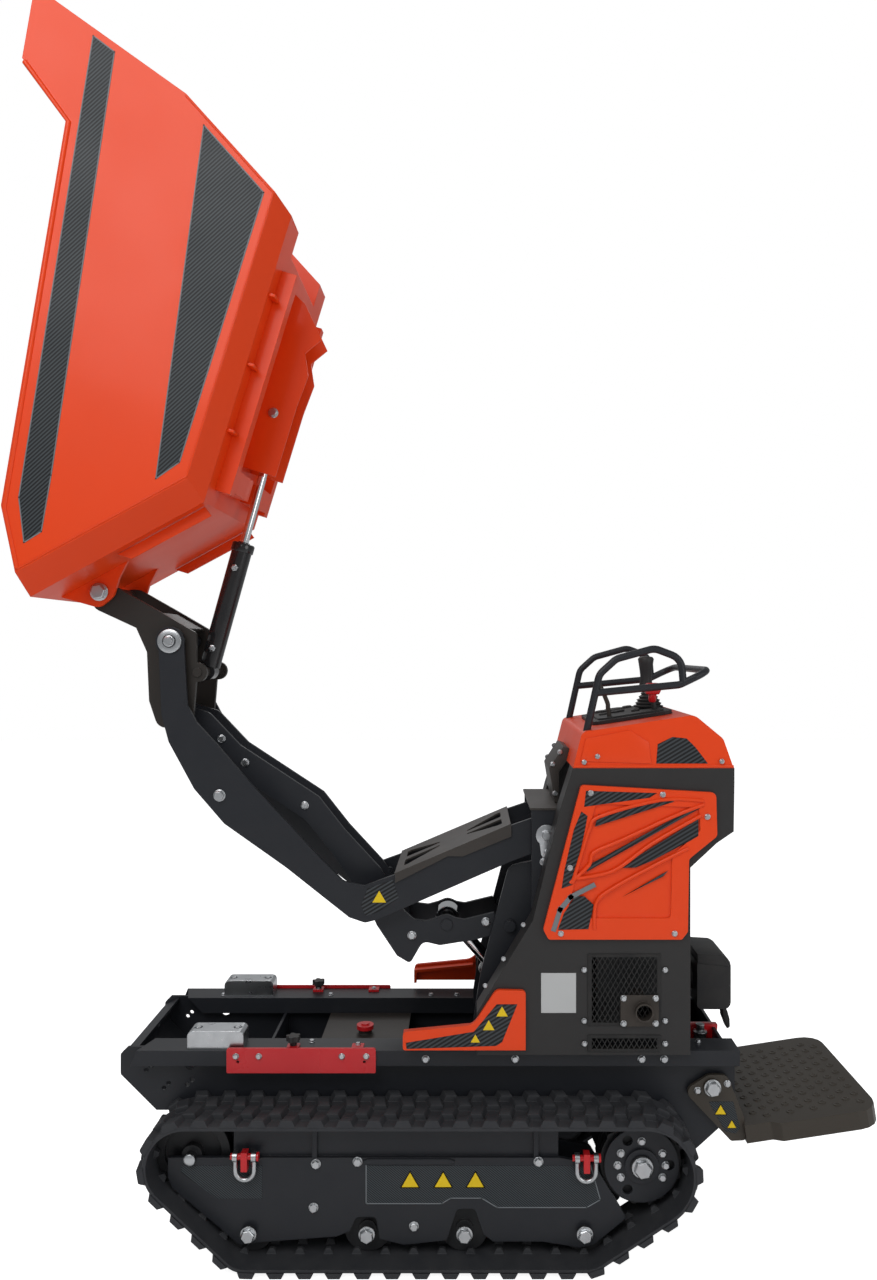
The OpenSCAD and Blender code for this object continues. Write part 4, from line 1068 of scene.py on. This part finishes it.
    def _engine_end(self) -> None:
        """Adds the engine's outer parts behind the body."""
        bm = bmesh.new()
        for index in range(9):
            z = 560 + index * 24
            add_prism(bm, [(-345, z), (-337, z), (-337, z + 9), (-345, z + 9)], -150, 150, 1.0)
        finish_piece("engine_fins", bm, ENGINE, "root")
        bm = bmesh.new()
        add_prism(bm, [(-640, 726), (-640, 700), (-731, 690), (-712, 722)], -88, 88, 3.0)
        for y in (-50, 0, 50):
            add_prism(bm, [(-736, 600), (-736, 680), (-740, 676), (-740, 604)], y - 12, y + 12, 1.5)
        finish_piece("air_cleaner_ribs", bm, PLASTIC, "root")
        bm = bmesh.new()
        add_prism(bm, [(-728, 562), (-743, 542), (-750, 517), (-751, 494), (-742, 488), (-736, 505),
                       (-729, 523)], -18, 18, 4.0)
        finish_piece("recoil_handle", bm, PLASTIC, "root")
        bm = bmesh.new()
        add_lathe(bm, place(-654, 60, 462), Axis.UP,
                  [(5, 0), (14, 3), (17, 10), (17, 30), (20, 33), (20, 38), (12, 42), (12, 58)], 32)
        finish_piece("fuel_bowl", bm, ZINC, "root")
        bm = bmesh.new()
        add_prism(bm, [(-617, 512), (-617, 411), (-667, 411), (-677, 449), (-706, 469), (-709, 512)],
                  20, 44, 4.0)
        finish_piece("tank_bracket", bm, RED, "root")

    def _hose_cover(self) -> None:
        """Adds the bent cover between the tower and the console."""
        bm = bmesh.new()
        add_prism(bm, [(-238, 1154), (-222, 1250), (-262, 1312), (-280, 1306), (-274, 1274), (-250, 1240),
                       (-248, 1154)], -96, 96, 2.0)
        finish_piece("hose_cover", bm, TAUPE, "root")
        bolts_piece("hose_cover_bolts", [(-252, 1296), (-232, 1262), (-238, 1180)], 96, 7)


@dataclass
class ControlsDress:
    """Controls on the cowl's slope: joystick, levers and the console's dials."""

    foot: Point2 = (-591.0, 1412.0)
    slope: float = 8.644
    console_top: float = 15.1
    # Each dial's way down the slope, its place across and its radius.
    dials: tuple[Point3, ...] = ((165, -70, 26), (165, 0, 20), (205, -70, 12), (120, -95, 12), (120, 60, 9),
                                 (205, 20, 12))
    # Height and radius of each fold of the joystick's bellows.
    collars: tuple[Point2, ...] = ((0, 40), (5, 43), (8, 34), (13, 38), (17, 30), (22, 34), (26, 25),
                                   (31, 28), (36, 20), (41, 22), (47, 13), (50, 10))

    def spot(self, s: float, y: float, h: float) -> Vector:
        """Gives a place on the slope.

        Args:
            s: the way down the slope in millimetres.
            y: the place across.
            h: the height above the slope.

        Returns:
            The point in metres.
        """
        c, n = unit(-self.slope)
        return place(self.foot[0] + s * c - h * n, y, self.foot[1] + s * n + h * c)

    def build(self) -> None:
        """Builds the joystick with its bellows, the levers and the dials."""
        bm = bmesh.new()
        foot = self.spot(72, 0, self.console_top)
        add_lathe(bm, foot, Axis.UP, [(radius, height) for height, radius in self.collars], 40)
        add_lathe(bm, foot + Vector((0.007, 0, 0.048)), Axis.UP,
                  [(10, 0), (12, 4), (20, 10), (16, 40), (18, 60), (21, 80), (23, 92), (19, 98),
                   (8, 100)], 32)
        piece = finish_piece("joystick_grip", bm, PLASTIC, "root", smooth=50)
        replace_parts(piece, "joystick")
        self._levers()
        self._console()

    def _levers(self) -> None:
        """Adds the red T-knob's lever and the bent metal lever."""
        bm = bmesh.new()
        base, top = self.spot(72, 95, self.console_top), self.spot(72, 95, 70)
        add_tube(bm, [base, base.lerp(top, 0.5), top], 7, 16)
        finish_piece("knob_stem", bm, PLASTIC, "root")
        bm = bmesh.new()
        add_prism(bm, [(-529, 1458), (-494, 1458), (-490, 1468), (-491, 1484), (-498, 1490), (-528, 1490),
                       (-534, 1484), (-534, 1468)], 80, 110, 4.0)
        add_lathe(bm, place(-512, 95, 1436), Axis.UP, [(8, 0), (11, 5), (12, 24)], 20)
        finish_piece("lever_knob", bm, RED, "root")
        bm = bmesh.new()
        a, b, c = self.spot(200, 95, self.console_top), self.spot(200, 95, 55), self.spot(214, 95, 106)
        add_tube(bm, curve_through([a, a.lerp(b, 0.6), b, c, c + Vector((0.012, 0, 0.006))], 5), 6.5, 16)
        lever = finish_piece("bent_lever", bm, EXHAUST, "root")
        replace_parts(lever, "control_levers")

    def _console(self) -> None:
        """Adds the dials on the console."""
        bm = bmesh.new()
        for s, y, r in self.dials:
            add_lathe(bm, self.spot(s, y, self.console_top), Axis.UP,
                      [(r + 3, 0), (r + 3, 4), (r, 6), (r - 2, 4), (r * 0.5, 4.5)], 32, tilt=self.slope)
        finish_piece("console_dials", bm, PLASTIC, "root")


@dataclass(frozen=True)
class Cylinder:
    """One hydraulic cylinder: its barrel from the foot towards the rod's eye."""

    name: str
    foot: Point2
    eye: Point2
    length: float
    radius: float
    bore: float
    ports: Point2 = (70.0, 310.0)
    sides: int = 48

    def along(self, at: float) -> Point2:
        """Gives a point of its axis.

        Args:
            at: the length from the foot in millimetres.

        Returns:
            The point's x and z.
        """
        dx, dz = self.eye[0] - self.foot[0], self.eye[1] - self.foot[1]
        share = at / math.hypot(dx, dz)
        return self.foot[0] + dx * share, self.foot[1] + dz * share

    def gland(self) -> None:
        """Adds the gland nut as a ring round the rod."""
        top, radius, inner = self.along(self.length), self.radius, self.bore
        lean = math.degrees(math.atan2(self.eye[0] - self.foot[0], self.eye[1] - self.foot[1]))
        frame = Matrix.Translation(place(top[0], 0, top[1])) @ Matrix.Rotation(math.radians(lean), 4, "Y")
        profile = [(inner, -1.0), (radius + 2.5, -26.0), (radius + 3.5, -24.0), (radius + 3.5, -4.0),
                   (radius + 1.5, -1.0), (radius - 3, 0.6), (inner + 5, 0.9), (inner + 3.5, 3.5),
                   (inner, 3.5)]
        around = [unit(k * 360 / self.sides) for k in range(self.sides)]
        bm = bmesh.new()
        skin(bm, [[bm.verts.new(frame @ Vector((r * c * MM, r * s * MM, h * MM))) for c, s in around]
                  for r, h in profile], loop=True)
        finish_piece(f"{self.name}_gland", bm, BARREL, f"{self.name}_barrel")

    def hose_ports(self) -> None:
        """Adds the two hose ports on the barrel's left side."""
        bm = bmesh.new()
        for at in self.ports:
            x, z = self.along(at)
            base = place(x, self.radius - 3, z)
            add_lathe(bm, base, Axis.LEFT, [(10, 0), (10, 8), (8, 9)], 6)
            add_lathe(bm, base + Vector((0, 0.009, 0)), Axis.LEFT, [(6, 0), (6, 9), (5, 10)], 20)
        finish_piece(f"{self.name}_ports", bm, ZINC, f"{self.name}_barrel")


@dataclass
class ArmDress:
    """Trim of the tower, the arm, the link and the cylinders."""

    tower_y: float = 181.0
    arm_y: float = 148.0
    arm_pivot: Point2 = (-208.0, 1079.0)
    head: Point2 = (827.0, 1607.0)
    tie: Point2 = (690.0, 1182.0)
    link_front_y: float = 56.0
    link_rear_y: float = 97.0
    cylinders: tuple[Cylinder, ...] = (
        Cylinder("tip", (759.0, 1520.0), (555.0, 2255.0), 385.0, 29.0, 13.2),
        Cylinder("lift", (-285.0, 425.0), (65.0, 812.0), 350.0, 35.0, 18.7))

    def build(self) -> None:
        """Builds washers, bolts, decals, signs, glands and hose ports."""
        self._keyhole()
        bolts_piece("tower_bolts", [(-200, 1006), (-200, 949), (-214, 600), (-190, 560)], self.tower_y, 10)
        bm = bmesh.new()
        for side in Side:
            add_tube(bm, [place(-212, side.value * 186, 946), place(-203, side.value * 187, 918),
                          place(-193, side.value * 186, 889)], 4, 12)
        finish_piece("stay_rods", bm, ZINC, "root")
        bolts_piece("tie_bolts", [self.tie], self.arm_y, 16, "arm")
        self._head_washers()
        plate_piece("arm_decals", [[(282, 926), (212, 950), (196, 900), (250, 862), (288, 850), (300, 880)]],
                    self.arm_y, 0.6, DECAL, "arm")
        sign_pieces("arm", [(250, 898, 26)], self.arm_y, "arm")
        bolts_piece("link_front_bolts", [(707, 1330), (640, 1262), (470, 1140)], self.link_front_y, 11,
                    "link")
        bolts_piece("link_rear_bolts", [(163, 782), (-45, 820)], self.link_rear_y, 12, "link")
        for cylinder in self.cylinders:
            cylinder.gland()
        for cylinder in self.cylinders:
            cylinder.hose_ports()

    def _keyhole(self) -> None:
        """Adds the keyhole plates that lock the arm's pivot pin."""
        x, z = self.arm_pivot
        head = [(x + 29 * unit(a)[0], z + 29 * unit(a)[1]) for a in range(-50, 231, 14)]
        outline = head + [(x - 15, z - 52), (x - 10, z - 60), (x + 10, z - 60), (x + 15, z - 52)]
        plate_piece("keyhole_plates", [outline], self.tower_y + 2, 4, ZINC, bevel=1.0)
        bolts_piece("keyhole_bolts", [(x, z - 46)], self.tower_y + 6, 8)
        bolts_piece("pivot_bolts", [self.arm_pivot], self.tower_y + 6, 15)

    def _head_washers(self) -> None:
        """Adds the large washers of the arm's head pin."""
        bm = bmesh.new()
        for side in Side:
            foot = place(self.head[0], side.value * (self.arm_y + 0.2), self.head[1])
            add_lathe(bm, foot, outward(side), [(32, 0), (33, 1), (33, 5), (31, 6), (20, 6.5)], 40)
            add_bolt(bm, place(self.head[0], side.value * (self.arm_y + 10), self.head[1]), outward(side), 15)
        finish_piece("head_washers", bm, ZINC, "arm")


@dataclass
class SkipDress:
    """Trim of the skip: rim, weld beads, striped decals, webs, gussets and its pins' bolts."""

    pivot: Point2 = (1024.0, 1743.0)
    hinge: Point2 = (1115.0, 212.0)
    tipped: float = 73.0
    side_y: float = 360.0
    web_y: float = 50.0
    web_thick: float = 7.0
    fields: tuple[tuple[Point2, ...], ...] = (
        ((957, 3143), (903, 3102), (1064, 2027), (1089, 1884), (1133, 1856), (1146, 1971)),
        ((676, 2916), (524, 2745), (738, 2060), (798, 2018)))

    def spot(self, x: float, z: float) -> Point2:
        """Gives the tipped place of a point of the level skip.

        Args:
            x: distance forward from the floor's rear corner.
            z: height above the floor.

        Returns:
            The place in millimetres from the datum.
        """
        c, s = unit(self.tipped)
        dx, dz = x - self.hinge[0], z - self.hinge[1]
        return self.pivot[0] + dx * c + dz * s, self.pivot[1] - dx * s + dz * c

    def at(self, x: float, y: float, z: float) -> Vector:
        """Gives the tipped place in metres of a point of the level skip."""
        px, pz = self.spot(x, z)
        return place(px, y, pz)

    def build(self) -> None:
        """Builds the skip's trim."""
        self._rim()
        plate_piece("skip_stripes", self.fields, self.side_y, 0.7, SKIP_DECAL, "skip")
        lines = [line for shape in self.fields for line in strips([*shape, shape[0]], 3.0)]
        plate_piece("skip_lines", lines, self.side_y, 0.9, PALE_GREY, "skip")
        self._webs()
        self._ribs()
        self._hinge_nuts()

    def _rim(self) -> None:
        """Adds the rolled bead round the mouth and the hems along the side panels' lower edges."""
        bm = bmesh.new()
        edge = [self.at(1108, self.side_y - 2, 347), self.at(968, self.side_y - 2, 424),
                self.at(-16, self.side_y - 2, 553), self.at(-131, self.side_y - 2, 706)]
        for side in Side:
            path = [Vector((p.x, p.y * side.value, p.z)) for p in edge]
            add_tube(bm, path, 7, 12)
        add_tube(bm, [self.at(1158, -298, 318), self.at(1158, 0, 318), self.at(1158, 298, 318)], 7, 12)
        finish_piece("skip_rim", bm, ORANGE, "skip", smooth=60)
        bm = bmesh.new()
        for side in Side:
            for a, b in (((4, 3), (757, 3)), ((757, 3), (1108, 347)), ((4, 3), (-167, 288))):
                y, middle = side.value * self.side_y, ((a[0] + b[0]) / 2, (a[1] + b[1]) / 2)
                add_tube(bm, [self.at(x, y, z) for x, z in (a, middle, b)], 2.6, 8)
        finish_piece("skip_weld_beads", bm, ORANGE, "skip", smooth=60)

    def _ribs(self) -> None:
        """Adds gussets on the front wall and stiffeners under the floor."""
        bm = bmesh.new()
        for y in (-262.0, 254.0):
            gusset = ((812, -34), (830, -58), (1000, 110), (1000, 150))
            add_prism(bm, [self.spot(*point) for point in gusset], y, y + 8, 1.2)
        for x in (230.0, 420.0, 600.0):
            for side in Side:
                low, high = side.value * 242, side.value * 292
                rib = ((x, -39), (x, -58), (x + 8, -58), (x + 8, -39))
                add_prism(bm, [self.spot(*point) for point in rib], low, high, 1.2)
        finish_piece("skip_gussets", bm, ORANGE, "skip")

    def _webs(self) -> None:
        """Adds the web plates beside the tip cylinder, with the bolts of its pin."""
        web = ((146, -41), (163, -76), (247, -153), (299, -118), (358, -146), (450, -140), (660, -140),
               (660, -41))
        plate_piece("skip_webs", [[self.spot(*point) for point in web]], self.web_y, self.web_thick, ORANGE,
                    "skip", bevel=1.2)
        bolts_piece("skip_web_bolts", [(560, 2257)], self.web_y + self.web_thick, 14, "skip")

    def _hinge_nuts(self) -> None:
        """Adds the nuts and washers of the hinge and of the tip rod's pin."""
        bm = bmesh.new()
        for side in Side:
            add_bolt(bm, place(self.pivot[0], side.value * 142, self.pivot[1]), outward(side), 24)
        finish_piece("hinge_nuts", bm, ZINC, "carrier")
        bm = bmesh.new()
        eye = self.spot(489, -87)
        for side in Side:
            add_bolt(bm, place(eye[0], side.value * 39, eye[1]), outward(side), 12)
        finish_piece("tip_pin_bolts", bm, ZINC, "skip")


@dataclass
class FootboardDress:
    """Trim of the footboard: grip dimples, arm bolts and signs."""

    top: Point2 = (-742.0, 315.0)
    tilt: float = 8.6
    pivot: Point2 = (-649.0, 410.6)
    rows: int = 10
    columns: int = 9
    first: float = 30.0
    # From row to row, and from column to column.
    pitch: Point2 = (32.0, 46.0)
    arm_y: float = 220.0
    pin_y: float = 226.0

    def build(self) -> None:
        """Builds the footboard's trim."""
        bm = bmesh.new()
        c, s = unit(self.tilt)
        dimple = [(11, -0.2), (10, 1.2), (7.5, 2.6), (5.5, 2.6), (4.5, 1.0)]
        for row in range(self.rows):
            for column in range(self.columns):
                back = self.first + row * self.pitch[0]
                y = (column - (self.columns - 1) / 2) * self.pitch[1] + (12 if row % 2 else -12)
                spot = place(self.top[0] - back * c, y, self.top[1] + back * s)
                add_lathe(bm, spot, Axis.UP, dimple, 16, tilt=self.tilt)
        finish_piece("tread_dimples", bm, TREAD, "footboard")
        bolts_piece("board_pivot_bolts", [self.pivot], self.pin_y, 22, "footboard")
        bolts_piece("board_arm_bolts", [(-610, 402), (-690, 420)], self.arm_y, 9, "footboard")
        plate_piece("board_decals", [[(-640, 372), (-706, 372), (-724, 300), (-712, 286), (-684, 292)]],
                    self.arm_y, 0.5, FINE_DECAL, "footboard")
        sign_pieces("board", [(-672, 346, 20), (-702, 308, 16)], self.arm_y, "footboard")


@dataclass
class Surroundings:
    """Floor, daylight and the camera of the photograph."""

    camera_place: Point3 = (-0.04728, 2.88, 1.588)
    focal: float = 27.9
    shift: Point2 = (-0.0246, 0.00625)
    sensor: float = 36.0
    view_depth: float = 60.0
    sky: float = 0.3
    sky_colour: Point3 = (0.96, 0.98, 1.0)
    floor_size: float = 14.0
    floor_z: float = -0.0005
    floor_grey: float = 0.94
    floor_glow: float = 0.1
    floor_seen: float = 0.78
    # Each light's name, place, aim, diameter and power.
    lights: tuple[tuple[str, Point3, Point3, float, float], ...] = (
        ("key_light", (1.6, 3.6, 4.6), (0.0, 0.0, 1.3), 3.4, 105.0),
        ("fill_light", (-3.6, 3.2, 2.4), (0.0, 0.0, 1.2), 3.0, 46.0),
        ("back_light", (0.8, -3.4, 4.4), (0.2, 0.0, 1.6), 3.0, 50.0))

    def build(self) -> None:
        """Builds the floor, the lights, the world and the camera."""
        self._floor()
        self._world()
        self._lights()
        data = bpy.data.cameras.new("photo_camera")
        data.lens, data.sensor_width = self.focal, self.sensor
        data.shift_x, data.shift_y = self.shift
        data.clip_end = self.view_depth
        camera = add_object("photo_camera", data)
        camera.location = self.camera_place
        camera.rotation_euler = (math.radians(90), 0, math.radians(180))
        bpy.context.scene.camera = camera
        bpy.context.scene.view_settings.view_transform = "Standard"

    def _backdrop(self, hand: Nodes, lit: Socket, white: Socket) -> Socket:
        """Mixes a lit shader with plain white for rays that see the backdrop.

        Args:
            hand: the hand for the nodes.
            lit: the shader that lights the machine.
            white: the shader that is seen.

        Returns:
            The mixed shader's socket.
        """
        path = hand.add("ShaderNodeLightPath")
        mix = hand.add("ShaderNodeMixShader")
        hand.link(path.outputs["Is Camera Ray"], mix.inputs[0])
        hand.link(lit, mix.inputs[1])
        hand.link(white, mix.inputs[2])
        return mix.outputs[0]

    def _floor(self) -> None:
        """Adds a pale floor that lets only soft shadows show."""
        bm = bmesh.new()
        bmesh.ops.create_grid(bm, x_segments=1, y_segments=1, size=self.floor_size)
        mesh = bpy.data.meshes.new("floor")
        bm.to_mesh(mesh)
        bm.free()
        floor = add_object("floor", mesh)
        floor.location = (0, 0, self.floor_z)
        material = bpy.data.materials.new("pale_floor")
        material.use_nodes = True
        shader = material.node_tree.nodes["Principled BSDF"]
        shader.inputs["Base Color"].default_value = (*[self.floor_grey] * 3, 1.0)
        shader.inputs["Roughness"].default_value = 0.9
        shader.inputs["Emission Color"].default_value = (1.0, 1.0, 1.0, 1.0)
        hand = Nodes(material.node_tree)
        path = hand.add("ShaderNodeLightPath")
        seen = hand.math("MULTIPLY", path.outputs["Is Camera Ray"], self.floor_seen)
        hand.link(hand.math("ADD", seen, self.floor_glow), shader.inputs["Emission Strength"])
        mesh.materials.append(material)

    def _world(self) -> None:
        """Sets a soft white sky, seen as pure white."""
        world = bpy.data.worlds.new("white_room")
        world.use_nodes = True
        hand = Nodes(world.node_tree)
        world.node_tree.nodes.clear()
        out = hand.add("ShaderNodeOutputWorld")
        lit = hand.add("ShaderNodeBackground")
        lit.inputs[0].default_value, lit.inputs[1].default_value = (*self.sky_colour, 1.0), self.sky
        seen = hand.add("ShaderNodeBackground")
        seen.inputs[0].default_value, seen.inputs[1].default_value = (1.0, 1.0, 1.0, 1.0), 1.0
        hand.link(self._backdrop(hand, lit.outputs[0], seen.outputs[0]), out.inputs[0])
        bpy.context.scene.world = world

    def _lights(self) -> None:
        """Adds broad soft lights above, in front and to the side."""
        for name, spot, aim, size, power in self.lights:
            data = bpy.data.lights.new(name, "AREA")
            data.shape, data.size, data.energy = "DISK", size, power
            light = add_object(name, data)
            light.location = spot
            light.rotation_euler = (Vector(aim) - Vector(spot)).to_track_quat("-Z", "Y").to_euler()


def dress_nodes(frame: dict) -> None:
    """Gives each carried-over CAD node its procedural finish.
    """
    for name, node in frame["nodes"].items():
        finish = NODE_FINISHES[name]
        for index, old in enumerate(node.material_slots):
            label = old.material.name if old.material else ""
            kept = OWN_FINISHES.get(name) or SLOT_FINISHES.get(label.split(".")[0], finish)
            old.material = kept.material()
            LOG.debug("%s slot %d: %s", name, index, label)
        node.data.shade_smooth()
        node.data.set_sharp_from_angle(angle=math.radians(30))
        LOG.info("node %s: %s", name, finish.name)


def main() -> None:
    """Builds the machine's looks round its frame."""
    logging.basicConfig(level=logging.INFO, format="%(name)s: %(message)s")
    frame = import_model()
    build_effects()
    dress_nodes(frame)
    track = TrackDress()
    for side in Side:
        track.build(side)
    UndercarriageDress().build()
    BodyDress().build()
    ControlsDress().build()
    ArmDress().build()
    SkipDress().build()
    FootboardDress().build()
    Surroundings().build()


if __name__ == "__main__":
    main()
